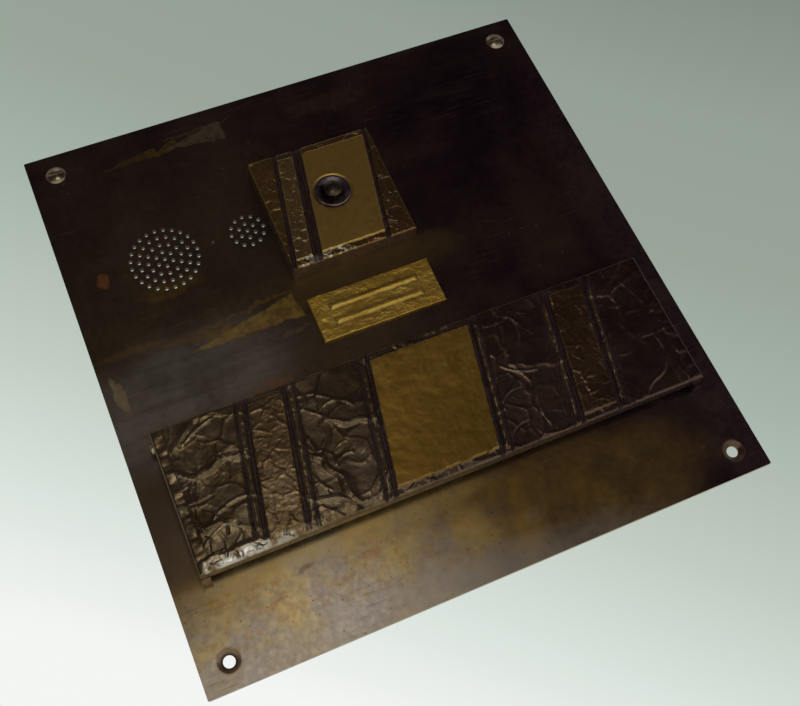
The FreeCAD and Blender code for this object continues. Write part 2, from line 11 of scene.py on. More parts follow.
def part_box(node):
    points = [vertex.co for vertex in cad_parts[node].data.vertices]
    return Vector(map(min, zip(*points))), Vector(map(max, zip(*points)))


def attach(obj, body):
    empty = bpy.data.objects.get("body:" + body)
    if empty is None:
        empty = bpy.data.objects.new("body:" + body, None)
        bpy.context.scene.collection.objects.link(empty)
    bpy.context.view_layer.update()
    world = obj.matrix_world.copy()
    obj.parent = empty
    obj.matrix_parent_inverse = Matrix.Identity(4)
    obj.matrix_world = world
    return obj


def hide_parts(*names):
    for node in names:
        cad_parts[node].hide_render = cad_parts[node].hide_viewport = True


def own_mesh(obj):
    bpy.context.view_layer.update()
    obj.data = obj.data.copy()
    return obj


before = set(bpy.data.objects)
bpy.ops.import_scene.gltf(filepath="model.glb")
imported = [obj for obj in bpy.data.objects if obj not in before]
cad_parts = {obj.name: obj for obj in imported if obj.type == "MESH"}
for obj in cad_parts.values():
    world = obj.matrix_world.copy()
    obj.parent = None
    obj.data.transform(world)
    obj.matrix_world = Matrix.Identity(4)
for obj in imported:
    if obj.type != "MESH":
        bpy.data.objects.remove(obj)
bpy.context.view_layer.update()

MM = 0.001
PLATE_FACE_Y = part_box("base_plate")[0].y


# ---------------------------------------------------------------- numbers and fields
def smooth(low, high, value):
    """Smooth step from 0 at low to 1 at high."""
    t = np.clip((value - low) / (high - low), 0.0, 1.0)
    return t * t * (3.0 - 2.0 * t)


def lattice_noise(x, z, size, seed):
    """Gradient noise in about -1 to 1, with features of the given size in millimetres."""
    rng = np.random.default_rng(seed)
    angles = rng.uniform(0.0, 2.0 * math.pi, (64, 64))
    grad_x, grad_z = np.cos(angles), np.sin(angles)
    u, v = x / size + 900.0, z / size + 900.0
    cell_u, cell_v = np.floor(u).astype(int), np.floor(v).astype(int)
    frac_u, frac_v = u - cell_u, v - cell_v

    def corner(du, dv):
        i, j = (cell_u + du) % 64, (cell_v + dv) % 64
        return grad_x[i, j] * (frac_u - du) + grad_z[i, j] * (frac_v - dv)

    fade_u = frac_u ** 3 * (frac_u * (frac_u * 6 - 15) + 10)
    fade_v = frac_v ** 3 * (frac_v * (frac_v * 6 - 15) + 10)
    low = corner(0, 0) * (1 - fade_u) + corner(1, 0) * fade_u
    high = corner(0, 1) * (1 - fade_u) + corner(1, 1) * fade_u
    return 1.4 * (low * (1 - fade_v) + high * fade_v)


def layered_noise(x, z, size, seed, layers=4):
    """Several sizes of gradient noise added up."""
    total = np.zeros_like(x)
    weight = 1.0
    for layer in range(layers):
        total += weight * lattice_noise(x, z, size / 2 ** layer, seed + layer)
        weight *= 0.5
    return total


def cells(x, z, size, seed):
    """Cellular field: distance to the nearest cell edge, and a random tilted plane in each cell."""
    rng = np.random.default_rng(seed)
    jitter = rng.uniform(0.0, 1.0, (48, 48, 2))
    tilt = rng.uniform(-1.0, 1.0, (48, 48, 2))
    u, v = x / size + 480.0, z / size + 480.0
    cell_u, cell_v = np.floor(u).astype(int), np.floor(v).astype(int)
    first = np.full_like(x, 9.0)
    second = np.full_like(x, 9.0)
    plane = np.zeros_like(x)
    for du in (-1, 0, 1):
        for dv in (-1, 0, 1):
            i, j = (cell_u + du) % 48, (cell_v + dv) % 48
            away_u = cell_u + du + jitter[i, j, 0] - u
            away_v = cell_v + dv + jitter[i, j, 1] - v
            distance = np.hypot(away_u, away_v)
            nearer = distance < first
            second = np.where(nearer, first, np.minimum(second, distance))
            tilted = -(away_u * tilt[i, j, 0] + away_v * tilt[i, j, 1])
            plane = np.where(nearer, tilted, plane)
            first = np.minimum(first, distance)
    return second - first, plane


def crumple(x, z, size, seed):
    """Crumpled-foil relief in about -1 to 1: flat tilted scraps with sharp raised folds between."""
    warp_x = x + 0.30 * size * layered_noise(x, z, size * 1.3, seed + 11, 3)
    warp_z = z + 0.30 * size * layered_noise(x, z, size * 1.3, seed + 23, 3)
    edge, plane = cells(warp_x, warp_z, size, seed)
    small_edge, small_plane = cells(warp_x, warp_z, size * 0.42, seed + 5)
    where = smooth(-0.25, 0.35, lattice_noise(x, z, size * 1.6, seed + 31))
    folds = (1.0 - smooth(0.0, 0.16, edge)) * where
    small_folds = (1.0 - smooth(0.0, 0.2, small_edge)) * (1.0 - 0.6 * where)
    return 0.55 * plane + 0.55 * folds + 0.2 * small_plane + 0.16 * small_folds


def segment_distance(x, z, start, end):
    """Distance to a straight segment, and how far along it the nearest point is, 0 to 1."""
    run_x, run_z = end[0] - start[0], end[1] - start[1]
    length2 = max(run_x * run_x + run_z * run_z, 1e-9)
    t = np.clip(((x - start[0]) * run_x + (z - start[1]) * run_z) / length2, 0.0, 1.0)
    return np.hypot(x - start[0] - t * run_x, z - start[1] - t * run_z), t


def path_distance(x, z, path):
    """Distance to a path, and how far along it the nearest point is, 0 to 1."""
    best = np.full_like(x, 1e9)
    along = np.zeros_like(x)
    count = len(path) - 1
    for index, (start, end) in enumerate(zip(path, path[1:])):
        distance, t = segment_distance(x, z, start, end)
        nearer = distance < best
        along = np.where(nearer, (index + t) / count, along)
        best = np.where(nearer, distance, best)
    return best, along


def depth_inside(x, z, outline):
    """Signed distance to an outline, positive inside it."""
    distance, _ = path_distance(x, z, list(outline) + [outline[0]])
    inside = np.zeros(x.shape, bool)
    for (ax, az), (bx, bz) in zip(outline, list(outline[1:]) + [outline[0]]):
        crosses = (az > z) != (bz > z)
        level = bz - az if abs(bz - az) > 1e-9 else 1e-9
        inside ^= crosses & (x < (bx - ax) * (z - az) / level + ax)
    return np.where(inside, distance, -distance)


# ---------------------------------------------------------------- cast relief
FLAT_LEAN = 0.2
FLAT_MARGIN = 5.0
FLAP_FLATS = ((-92.0, 20.0), (0.0, 60.0), (92.0, 20.0))
BLOCK_FLATS = ((-25.0, 10.0), (6.0, 40.0))
GROOVE_W = 2.2
THIN_GROOVE_W = 1.4
GROOVE_SPACING = 7.0


class Relief:
    """A height field on a rectangle of the plate's front, in millimetres."""

    def __init__(self, x0, x1, z0, z1, pitch, base):
        nx = int(round((x1 - x0) / pitch)) + 1
        nz = int(round((z1 - z0) / pitch)) + 1
        self.x, self.z = np.meshgrid(np.linspace(x0, x1, nx), np.linspace(z0, z1, nz))
        self.box = (x0, x1, z0, z1)
        self.pitch = pitch
        self.height = np.full_like(self.x, float(base))
        # polish: worn crests and rims, and also painted highlights on the crushed strips and the name
        # plate's bars
        self.polish = np.zeros_like(self.x)
        # dirt: patina in grooves and creases, and also painted shade round the bell hole and the name
        # plate's bars
        self.dirt_and_shade = np.zeros_like(self.x)
        self.hue = np.zeros_like(self.x)

    def border(self):
        """Distance from the rectangle's edge."""
        x0, x1, z0, z1 = self.box
        across = np.minimum(self.x - x0, x1 - self.x)
        return np.minimum(across, np.minimum(self.z - z0, z1 - self.z))

    def window(self, points, margin):
        """Slice of the grid round some points."""
        x0, _, z0, _ = self.box
        xs = [point[0] for point in points]
        zs = [point[1] for point in points]
        rows = (max(int((min(zs) - margin - z0) / self.pitch), 0),
                max(int((max(zs) + margin - z0) / self.pitch) + 2, 0))
        columns = (max(int((min(xs) - margin - x0) / self.pitch), 0),
                   max(int((max(xs) + margin - x0) / self.pitch) + 2, 0))
        return slice(*rows), slice(*columns)

    def facet(self, outline, level, slope=(0.0, 0.0), rough=0.0, polish=0.0, hue=0.0, bevel=0.5,
              seed=1, crumpled=0.0, size=9.0):
        """Flat or tilted area with its own level; slope is rise in mm per mm along X and Z."""
        w = self.window(outline, 2.0)
        x, z = self.x[w], self.z[w]
        deep = depth_inside(x, z, outline) + 0.28 * layered_noise(x, z, 5.0, seed + 70, 3)
        weight = smooth(-bevel, bevel * 0.4, deep)
        middle_x = sum(point[0] for point in outline) / len(outline)
        middle_z = sum(point[1] for point in outline) / len(outline)
        surface = level + slope[0] * (x - middle_x) + slope[1] * (z - middle_z)
        surface = surface + rough * layered_noise(x, z, 7.0, seed + 40)
        if crumpled:
            surface = surface + crumpled * crumple(x, z, size, seed)
        self.height[w] = self.height[w] * (1 - weight) + surface * weight
        self.polish[w] = self.polish[w] * (1 - weight) + polish * weight
        self.hue[w] = self.hue[w] * (1 - weight) + hue * weight
        self.dirt_and_shade[w] *= 1 - weight
        worn_rim = smooth(-0.1, 0.3, deep) * smooth(1.3, 0.7, deep)
        worn_rim = worn_rim * smooth(-0.5, 0.5, lattice_noise(x, z, 9.0, seed + 90))
        self.polish[w] = np.maximum(self.polish[w], 0.8 * worn_rim)
        self.hue[w] -= 0.25 * worn_rim

    def groove(self, path, width, depth, dirt_and_shade=1.0, hue=0.0, seed=1):
        """Deep line along a path."""
        w = self.window(path, width + 2.0)
        x, z = self.x[w], self.z[w]
        wobble = 0.22 * layered_noise(x, z, 8.0, seed, 3)
        distance, _ = path_distance(x, z, path)
        cut = 1.0 - smooth(width * 0.2, width * 0.62, distance + wobble)
        self.height[w] -= depth * cut * (1.0 + 0.25 * lattice_noise(x, z, 12.0, seed + 1))
        self.dirt_and_shade[w] = np.maximum(self.dirt_and_shade[w], dirt_and_shade * cut)
        self.polish[w] *= 1.0 - cut
        self.hue[w] = self.hue[w] * (1 - cut) + hue * cut

    def ridge(self, path, width, rise, polish=0.35, hue=0.0, broken=0.0, seed=3):
        """Raised fold along a path, with a worn top."""
        w = self.window(path, width * 2.0 + 1.0)
        x, z = self.x[w], self.z[w]
        distance, along = path_distance(x, z, path)
        wobble = 0.35 * layered_noise(x, z, 6.0, seed + 60, 2)
        crest = np.exp(-((distance + wobble) / (width * 0.5)) ** 2)
        crest = crest * smooth(0.0, 0.12, along) * smooth(1.0, 0.88, along)
        if broken:
            crest = crest * (1.0 - broken * smooth(-0.1, 0.4, lattice_noise(x, z, 5.0, seed)))
        self.height[w] += rise * crest
        self.polish[w] = np.maximum(self.polish[w], polish * crest)
        self.dirt_and_shade[w] *= 1.0 - 0.8 * crest
        self.hue[w] = self.hue[w] * (1 - crest) + hue * crest

    def random_paths(self, count, seed, length):
        """Curved paths at random places, each with a random share of 0.55 to 1."""
        rng = np.random.default_rng(seed)
        x0, x1, z0, z1 = self.box
        for _ in range(count):
            middle_x, middle_z = rng.uniform(x0 + 4, x1 - 4), rng.uniform(z0 + 4, z1 - 4)
            angle, bend = rng.uniform(0, math.pi), rng.uniform(-0.9, 0.9)
            reach = length * rng.uniform(0.5, 1.5) / 2
            path = []
            for step in range(-3, 4):
                turn = angle + bend * step / 6
                path.append((middle_x + reach * step / 3 * math.cos(turn),
                             middle_z + reach * step / 3 * math.sin(turn)))
            yield path, rng.uniform(0.55, 1.0)

    def folds(self, count, seed, length, width, rise, polish):
        """Raised folds of the cast ground."""
        for number, (path, share) in enumerate(self.random_paths(count, seed, length)):
            self.ridge(path, width * (1.6 - share), rise * share, polish * share,
                       0.5 - 1.3 * share, 0.6, seed + number)

    def creases(self, count, seed, length, width, depth):
        """Sunk dark lines of the cast ground."""
        for number, (path, share) in enumerate(self.random_paths(count, seed, length)):
            self.groove(path, width * share, depth * share, 0.7 * share, -0.1, seed + number)

    def leaning_flat(self, x, width, level, polish, hue=0.0, rough=0.05, seed=1, crumpled=0.0):
        """Flat of the plain relief, with its two grooves."""
        _, _, z0, z1 = self.box
        low, high = z0 + FLAT_MARGIN, z1 - FLAT_MARGIN
        shift = FLAT_LEAN * (high - low) / 2
        half = width / 2
        outline = [(x - shift - half, low), (x - shift + half, low),
                   (x + shift + half, high), (x + shift - half, high)]
        self.facet(outline, level, (0.003, 0.002), rough, polish, hue, 0.6, seed, crumpled, 7.0)
        for side in (-1, 1):
            self.groove(self.leaning_line(x + side * (width / 2 + 1.5)), GROOVE_W + 0.4, 1.4,
                        seed=seed + side)

    def leaning_line(self, x, trim=-2.0):
        """Line that leans like the flats; trim is how far short of the edges it stops."""
        _, _, z0, z1 = self.box
        low, high = z0 + trim, z1 - trim
        shift = FLAT_LEAN * (high - low) / 2
        return [(x - shift, low), (x, (low + high) / 2), (x + shift, high)]

    def round_edges(self, radius, drop):
        """Rounds the rectangle's edges."""
        away = np.clip(1.0 - self.border() / radius, 0.0, 1.0)
        self.height -= drop * (1.0 - np.sqrt(np.clip(1.0 - away * away, 0.0, 1.0)))


def relief_object(relief, name, floor, ceiling, edge_wander=0.0, hole=None):
    """Mesh of a relief: its face, and skirts down to the floor height. hole is (x, z, radius)."""
    rows, columns = relief.x.shape
    x, z = relief.x.copy(), relief.z.copy()
    height = np.clip(relief.height, floor + 0.2, ceiling)
    if edge_wander:
        x0, x1, z0, z1 = relief.box
        middle_x, middle_z = (x0 + x1) / 2, (z0 + z1) / 2
        inset_x = edge_wander * (1 + layered_noise(x * 0, z, 9.0, 71)) / 2
        inset_z = edge_wander * (1 + layered_noise(x, z * 0, 9.0, 83)) / 2
        x -= inset_x * np.clip((x - middle_x) / (x1 - middle_x), -1, 1) ** 5
        z -= inset_z * np.clip((z - middle_z) / (z1 - middle_z), -1, 1) ** 5
    if hole:
        from_centre = np.hypot(x - hole[0], z - hole[1])
        near = np.abs(from_centre - hole[2]) < relief.pitch * 0.6
        stretch = np.where(near, hole[2] / np.maximum(from_centre, 1e-6), 1.0)
        x = hole[0] + (x - hole[0]) * stretch
        z = hole[1] + (z - hole[1]) * stretch
    y = PLATE_FACE_Y / MM - height
    coords = np.stack([x, y, z], -1).reshape(-1, 3) * MM
    index = np.arange(rows * columns).reshape(rows, columns)
    quads = np.stack([index[:-1, :-1], index[:-1, 1:], index[1:, 1:], index[1:, :-1]], -1).reshape(-1, 4)
    if hole:
        centre = coords[quads].mean(1) / MM
        quads = quads[np.hypot(centre[:, 0] - hole[0], centre[:, 2] - hole[1]) > hole[2] - 0.02]
    rim = np.concatenate([index[0, :], index[1:, -1], index[-1, -2::-1], index[-2:0:-1, 0]])
    skirt = coords[rim].copy()
    skirt[:, 1] = PLATE_FACE_Y - floor * MM
    start = len(coords)
    coords = np.concatenate([coords, skirt])
    count = len(rim)
    low = start + np.arange(count)
    sides = np.stack([rim, low, np.roll(low, -1), np.roll(rim, -1)], -1)
    faces = np.concatenate([quads, sides])
    mesh = bpy.data.meshes.new(name)
    mesh.from_pydata(coords.tolist(), [], faces.tolist())
    for key in ("polish", "dirt_and_shade", "hue"):
        values = getattr(relief, key).reshape(-1)
        values = np.concatenate([values, values[rim] * 0.3]).astype(np.float32)
        mesh.attributes.new(key, "FLOAT", "POINT").data.foreach_set("value", values)
    mesh.update()
    obj = bpy.data.objects.new(name, mesh)
    bpy.context.scene.collection.objects.link(obj)
    shade_smooth(obj, math.radians(50))
    return obj


def shade_smooth(obj, sharp_angle):
    """Smooth shading, with edges over the angle kept sharp."""
    mesh = obj.data
    mesh.polygons.foreach_set("use_smooth", [True] * len(mesh.polygons))
    work = bmesh.new()
    work.from_mesh(mesh)
    for edge in work.edges:
        edge.smooth = not (len(edge.link_faces) == 2 and edge.calc_face_angle(0.0) > sharp_angle)
    work.to_mesh(mesh)
    work.free()


def back_of(node, name, cut_height):
    """Copy of a CAD node without what stands more than cut_height in front of the plate."""
    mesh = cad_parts[node].data.copy()
    mesh.name = name
    mesh.materials.clear()
    work = bmesh.new()
    work.from_mesh(mesh)
    bmesh.ops.remove_doubles(work, verts=work.verts, dist=1e-6)
    everything = work.verts[:] + work.edges[:] + work.faces[:]
    bmesh.ops.bisect_plane(work, geom=everything, dist=1e-7, clear_outer=True,
                           plane_co=(0, PLATE_FACE_Y - cut_height * MM, 0), plane_no=(0, -1, 0))
    work.to_mesh(mesh)
    work.free()
    for key in ("polish", "dirt_and_shade", "hue"):
        mesh.attributes.new(key, "FLOAT", "POINT")
    obj = bpy.data.objects.new(name, mesh)
    bpy.context.scene.collection.objects.link(obj)
    shade_smooth(obj, math.radians(32))
    return obj


# ---------------------------------------------------------------- the three reliefs
# heights are in millimetres in front of the plate's face; a skirt is where a face joins its CAD back
FLAP_FACE_H = 83.0
FLAP_SKIRT = 13.4
FLAP_GROUND = 15.2
FLAP_STRIP = 15.0
FLAP_CRUSHED = 15.5
FLAP_LEVELS = (15.75, 16.25, 15.75)
FLAP_TOP = 16.5
FLAP_POLISH = (0.08, 1.0, 0.15)
FLAP_HUES = (0.15, 0.0, 0.1)
FLAP_CRUMPLE = (0.30, 0.0, 0.45)
BLOCK_SKIRT = 10.5
BLOCK_GROUND = 12.7
BLOCK_COLLAR = 13.1
BLOCK_LEVELS = (13.45, 13.75)
BLOCK_TOP = 14.0
BELL_HOLE_R = 11.2
NAME_GROUND = 2.15
NAME_TOP = 3.2
NAME_BAR_W = 54.0
NAME_BAR_H = 3.0
NAME_BAR_Z = (10.0, 0.0)


def flap_ground(r):
    """Crumpled ground with creases and folds, calmer towards the right."""
    x, z = r.x, r.z
    busy = smooth(-0.1, 0.5, layered_noise(x, z, 30.0, 350, 2))
    r.height += 1.25 * crumple(x, z, 33.0, 101) + (0.03 + 0.15 * busy) * crumple(x, z, 10.0, 131) - 0.2
    r.height += 0.12 * layered_noise(x, z, 16.0, 120, 3)
    r.polish += 0.14 * smooth(0.1, 0.6, layered_noise(x, z, 10.0, 330))
    r.creases(22, 1700, 20.0, 1.2, 0.45)
    r.folds(30, 900, 26.0, 1.5, 0.5, 0.5)
    r.folds(44, 1300, 7.0, 0.8, 0.25, 0.5)
    calm = smooth(-30.0, 100.0, x)
    r.height = FLAP_GROUND + (r.height - FLAP_GROUND) * (1.0 - 0.4 * calm)
    r.polish *= 1.0 - 0.55 * calm


def flap_flats(r):
    """Three leaning flats, each with a worn crest and a narrow groove on both sides."""
    for number, (flat_x, width) in enumerate(FLAP_FLATS):
        r.leaning_flat(flat_x, width, FLAP_LEVELS[number], FLAP_POLISH[number], FLAP_HUES[number], 0.06,
                       500 + 10 * number, FLAP_CRUMPLE[number])
        for side in (-1, 1):
            narrow = flat_x + side * (width / 2 + GROOVE_SPACING)
            crest = flat_x + side * (width / 2 + (GROOVE_SPACING + GROOVE_W) / 2)
            r.groove(r.leaning_line(narrow), THIN_GROOVE_W + 0.4, 1.1, 0.9, -0.15, 600 + number)
            r.ridge(r.leaning_line(crest, 3.0), 1.7, 0.6, 0.3, -0.35, 0.25, 700 + number)


def flap_end_strips(r):
    """Bumpy strips along the two short edges."""
    x0, x1, _, _ = r.box
    strip = 1.0 - smooth(6.0, 7.4, np.minimum(r.x - x0, x1 - r.x))
    bumps = layered_noise(r.x * 0.5, r.z, 6.0, 140, 2)
    r.height = r.height * (1 - strip) + (FLAP_STRIP + 0.45 * bumps) * strip


def crush_lower_left(r):
    """Crushed strip at the lower left, which slopes down to the edge; its silvery colour is partly worn
    bare metal and partly a painted highlight that fades to the right.
    """
    x, z = r.x, r.z
    x0, _, bottom, _ = r.box
    ragged = 2.2 * layered_noise(x, z, 16.0, 310, 3)
    near_bottom = 1.0 - smooth(6.0, 8.5, z - bottom + ragged)
    crushed = near_bottom * smooth(x0 + 1, x0 + 5, x) * (1.0 - smooth(-100.0, -62.0, x + 2.0 * ragged))
    slope_down = np.clip(9.0 - (z - bottom), 0.0, 9.0) * 0.085
    r.height = r.height * (1 - crushed) + (FLAP_CRUSHED - slope_down) * crushed
    r.height += crushed * (0.65 * crumple(x, z, 9.0, 301) + 0.2 * crumple(x, z, 4.0, 307))
    # silvery colour: partly worn bare metal, partly a painted highlight that fades towards the right
    silver_wear_and_highlight = crushed * smooth(-1.1, 0.2, layered_noise(x, z, 8.0, 320, 3))
    highlight_fade = 0.55 + 0.45 * smooth(-85.0, -125.0, x)
    silver_wear_and_highlight *= highlight_fade * smooth(9.0, 4.0, z - bottom + 0.6 * ragged)
    r.polish = np.maximum(r.polish * (1 - crushed), silver_wear_and_highlight)
    r.dirt_and_shade *= 1 - crushed
    r.hue = r.hue * (1 - crushed) - 0.8 * silver_wear_and_highlight


def flap_relief():
    """Face of the letter flap."""
    low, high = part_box("letter_flap")
    top = high.z / MM
    r = Relief(low.x / MM, high.x / MM, top - FLAP_FACE_H, top, 0.56, FLAP_GROUND)
    flap_ground(r)
    flap_flats(r)
    flap_end_strips(r)
    crush_lower_left(r)
    r.round_edges(1.5, 1.2)
    return r


def block_relief():
    """Face of the bell block: a wide leaning flat round the bell push, and a narrow one."""
    low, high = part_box("bell_block")
    x0, x1, z0, z1 = low.x / MM, high.x / MM, low.z / MM, high.z / MM
    r = Relief(x0, x1, z0, z1, 0.32, BLOCK_GROUND)
    x, z = r.x, r.z
    r.height += 0.45 * crumple(x, z, 11.0, 401) + 0.16 * crumple(x, z, 4.5, 410)
    r.polish += 0.16
    r.hue += 0.35 * smooth(-0.1, 0.5, layered_noise(x, z, 26.0, 420, 2))
    r.creases(14, 2500, 10.0, 1.0, 0.4)
    r.folds(22, 2100, 12.0, 0.9, 0.4, 0.5)
    r.folds(26, 2300, 5.0, 0.6, 0.25, 0.4)
    (left_x, left_w), (wide_x, wide_w) = BLOCK_FLATS
    r.leaning_flat(left_x, left_w, BLOCK_LEVELS[0], 0.40, -0.2, 0.12, 810, 0.5)
    r.leaning_flat(wide_x, wide_w, BLOCK_LEVELS[1], 1.0, 0.0, 0.04, 830)
    near_bottom = 1.0 - smooth(4.4, 5.4, z - z0)
    crushed = near_bottom * (1 - smooth(-10.0, 8.0, x)) * smooth(x0 + 1, x0 + 5, x)
    r.height += crushed * (0.4 * crumple(x, z, 4.5, 430) - 0.05 * np.clip(5.0 - (z - z0), 0.0, 5.0))
    # silvery colour on the crushed strip: partly worn bare metal, partly a painted highlight
    crushed *= smooth(-0.5, 0.5, layered_noise(x, z, 4.0, 440, 3))
    r.polish = np.maximum(r.polish, 0.8 * crushed)
    r.hue = r.hue * (1 - crushed) - 0.85 * crushed
    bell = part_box("bell_bezel")
    bell_x = (bell[0].x + bell[1].x) / 2 / MM
    bell_z = (bell[0].z + bell[1].z) / 2 / MM
    from_bell = np.hypot(x - bell_x, z - bell_z)
    collar = 0.8 * (1.0 - smooth(11.4, 12.6, from_bell))
    r.height = r.height * (1 - collar) + BLOCK_COLLAR * collar
    # painted shade: a dark ring round the bell hole, where the gap round the bezel lies in shade
    r.dirt_and_shade = np.maximum(r.dirt_and_shade, 0.8 * (1.0 - smooth(BELL_HOLE_R, BELL_HOLE_R + 1.0, from_bell)))
    r.round_edges(1.3, 1.1)
    return r, (bell_x, bell_z, BELL_HOLE_R)


def name_relief():
    """The rough cast name plate with two plain raised bars."""
    low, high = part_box("name_plate")
    x0, x1, z0, z1 = low.x / MM, high.x / MM, low.z / MM, high.z / MM
    r = Relief(x0, x1, z0, z1, 0.26, NAME_GROUND)
    x, z = r.x, r.z
    r.height += 0.26 * layered_noise(x * 0.6, z, 7.0, 501, 4) + 0.22 * crumple(x, z, 6.0, 510)
    r.height -= 0.2
    r.polish += 0.8
    middle = (x0 + x1) / 2
    for bar_z in NAME_BAR_Z:
        ragged = 0.3 * layered_noise(x, z, 5.0, 520, 3)
        across = np.abs(z - bar_z) + ragged
        along = np.abs(x - middle) + ragged
        inside = np.minimum(NAME_BAR_H / 2 - across, NAME_BAR_W / 2 - along)
        r.height += 1.25 * smooth(-0.8, 1.5, inside) * (0.8 + 0.4 * lattice_noise(x, z, 7.0, 540))
        # painted highlight on the bars' tops
        r.polish += 0.22 * smooth(0.9, 1.4, inside + 0.5 * lattice_noise(x, z, 6.0, 550))
        # painted shade: a dark ring round the foot of the bars
        r.dirt_and_shade = np.maximum(r.dirt_and_shade, 0.6 * smooth(-2.2, -0.6, inside) * (1 - smooth(-0.4, 0.3, inside)))
    r.round_edges(0.9, 0.8)
    return r


# ---------------------------------------------------------------- materials
class Paint:
    """Small helper that builds one node material."""

    def __init__(self, name):
        self.material = bpy.data.materials.new(name)
        self.material.use_nodes = True
        self.tree = self.material.node_tree
        self.tree.nodes.clear()
        self.output = self.tree.nodes.new("ShaderNodeOutputMaterial")
        self.shader = self.tree.nodes.new("ShaderNodeBsdfPrincipled")
        self.link(self.shader.outputs[0], self.output.inputs["Surface"])
        self.place = self.tree.nodes.new("ShaderNodeTexCoord").outputs["Object"]

    def link(self, source, target):
        self.tree.links.new(source, target)

    def put(self, socket, value):
        """Sets a socket to a number or colour, or links an output to it."""
        if isinstance(value, bpy.types.NodeSocket):
            self.link(value, socket)
        elif isinstance(value, (tuple, list)) and len(value) == 3 and socket.type == "RGBA":
            socket.default_value = (*value, 1.0)
        else:
            socket.default_value = value

    def noise(self, scale, detail=4.0, rough=0.55, distort=0.0, place=None):
        node = self.tree.nodes.new("ShaderNodeTexNoise")
        self.put(node.inputs["Vector"], place or self.place)
        self.put(node.inputs["Scale"], scale)
        self.put(node.inputs["Detail"], detail)
        self.put(node.inputs["Roughness"], rough)
        self.put(node.inputs["Distortion"], distort)
        return node.outputs["Fac"]

    def specks(self, scale, size, place=None):
        """Small dots, 1 inside and 0 outside."""
        node = self.tree.nodes.new("ShaderNodeTexVoronoi")
        self.put(node.inputs["Vector"], place or self.place)
        self.put(node.inputs["Scale"], scale)
        return self.ranged(node.outputs["Distance"], size, size * 0.5)

    def ranged(self, value, low, high, to_low=0.0, to_high=1.0):
        """Smooth map of low to high onto to_low to to_high, clamped."""
        node = self.tree.nodes.new("ShaderNodeMapRange")
        node.interpolation_type = "SMOOTHSTEP"
        self.put(node.inputs["Value"], value)
        self.put(node.inputs["From Min"], low)
        self.put(node.inputs["From Max"], high)
        self.put(node.inputs["To Min"], to_low)
        self.put(node.inputs["To Max"], to_high)
        return node.outputs["Result"]

    def maths(self, operation, a, b=0.0, clamp=False):
        node = self.tree.nodes.new("ShaderNodeMath")
        node.operation = operation
        node.use_clamp = clamp
        self.put(node.inputs[0], a)
        self.put(node.inputs[1], b)
        return node.outputs[0]

    def times(self, *values):
        result = values[0]
        for value in values[1:]:
            result = self.maths("MULTIPLY", result, value)
        return result

    def blend(self, share, a, b):
        node = self.tree.nodes.new("ShaderNodeMix")
        node.data_type = "RGBA"
        self.put(node.inputs["Factor"], share)
        self.put(node.inputs["A"], a)
        self.put(node.inputs["B"], b)
        return node.outputs["Result"]

    def mapped(self, scale=(1, 1, 1), turn=(0, 0, 0), shift=(0, 0, 0), place=None):
        node = self.tree.nodes.new("ShaderNodeMapping")
        self.put(node.inputs["Vector"], place or self.place)
        node.inputs["Scale"].default_value = scale
        node.inputs["Rotation"].default_value = turn
        node.inputs["Location"].default_value = shift
        return node.outputs["Vector"]

    def wandering(self, scale, amount):
        """Object coordinates pushed about by noise, in metres."""
        node = self.tree.nodes.new("ShaderNodeTexNoise")
        self.put(node.inputs["Vector"], self.place)
        self.put(node.inputs["Scale"], scale)
        self.put(node.inputs["Detail"], 4.0)
        centred = self.vector("SUBTRACT", node.outputs["Color"], (0.5, 0.5, 0.5))
        scaled = self.vector("MULTIPLY", centred, (amount, amount, amount))
        return self.vector("ADD", self.place, scaled)

    def vector(self, operation, a, b):
        node = self.tree.nodes.new("ShaderNodeVectorMath")
        node.operation = operation
        self.put(node.inputs[0], a)
        self.put(node.inputs[1], b)
        return node.outputs["Vector"]

    def blob(self, centre, radii, edge=0.3, power=2.0, lean=0.0, place=None):
        """Stain mask round a place on the face: centre and radii in millimetres, lean in degrees."""
        split = self.tree.nodes.new("ShaderNodeSeparateXYZ")
        self.put(split.inputs[0], place or self.place)
        dx = self.maths("SUBTRACT", split.outputs["X"], centre[0] * MM)
        dz = self.maths("SUBTRACT", split.outputs["Z"], centre[1] * MM)
        c, s = math.cos(math.radians(lean)), math.sin(math.radians(lean))
        along = self.maths("ADD", self.times(dx, c), self.times(dz, s))
        across = self.maths("SUBTRACT", self.times(dz, c), self.times(dx, s))
        a = self.maths("POWER", self.maths("ABSOLUTE", self.times(along, 1 / (radii[0] * MM))), power)
        b = self.maths("POWER", self.maths("ABSOLUTE", self.times(across, 1 / (radii[1] * MM))), power)
        return self.ranged(self.maths("ADD", a, b), 1.0 + edge, 1.0 - edge)

    def wedge(self, tip, end, half_width, place=None):
        """Mask of a pointed stain: tip and middle of its wide end in millimetres."""
        split = self.tree.nodes.new("ShaderNodeSeparateXYZ")
        self.put(split.inputs[0], place or self.place)
        dx = self.maths("SUBTRACT", split.outputs["X"], tip[0] * MM)
        dz = self.maths("SUBTRACT", split.outputs["Z"], tip[1] * MM)
        length = math.hypot(end[0] - tip[0], end[1] - tip[1])
        c, s = (end[0] - tip[0]) / length, (end[1] - tip[1]) / length
        along = self.maths("ADD", self.times(dx, c), self.times(dz, s))
        across = self.maths("ABSOLUTE", self.maths("SUBTRACT", self.times(dz, c), self.times(dx, s)))
        beyond = self.maths("SUBTRACT", across, self.times(along, half_width / length))
        sides = self.ranged(beyond, 0.6 * MM, -0.6 * MM)
        return self.times(sides, self.ranged(along, (length + 0.8) * MM, (length - 0.8) * MM))

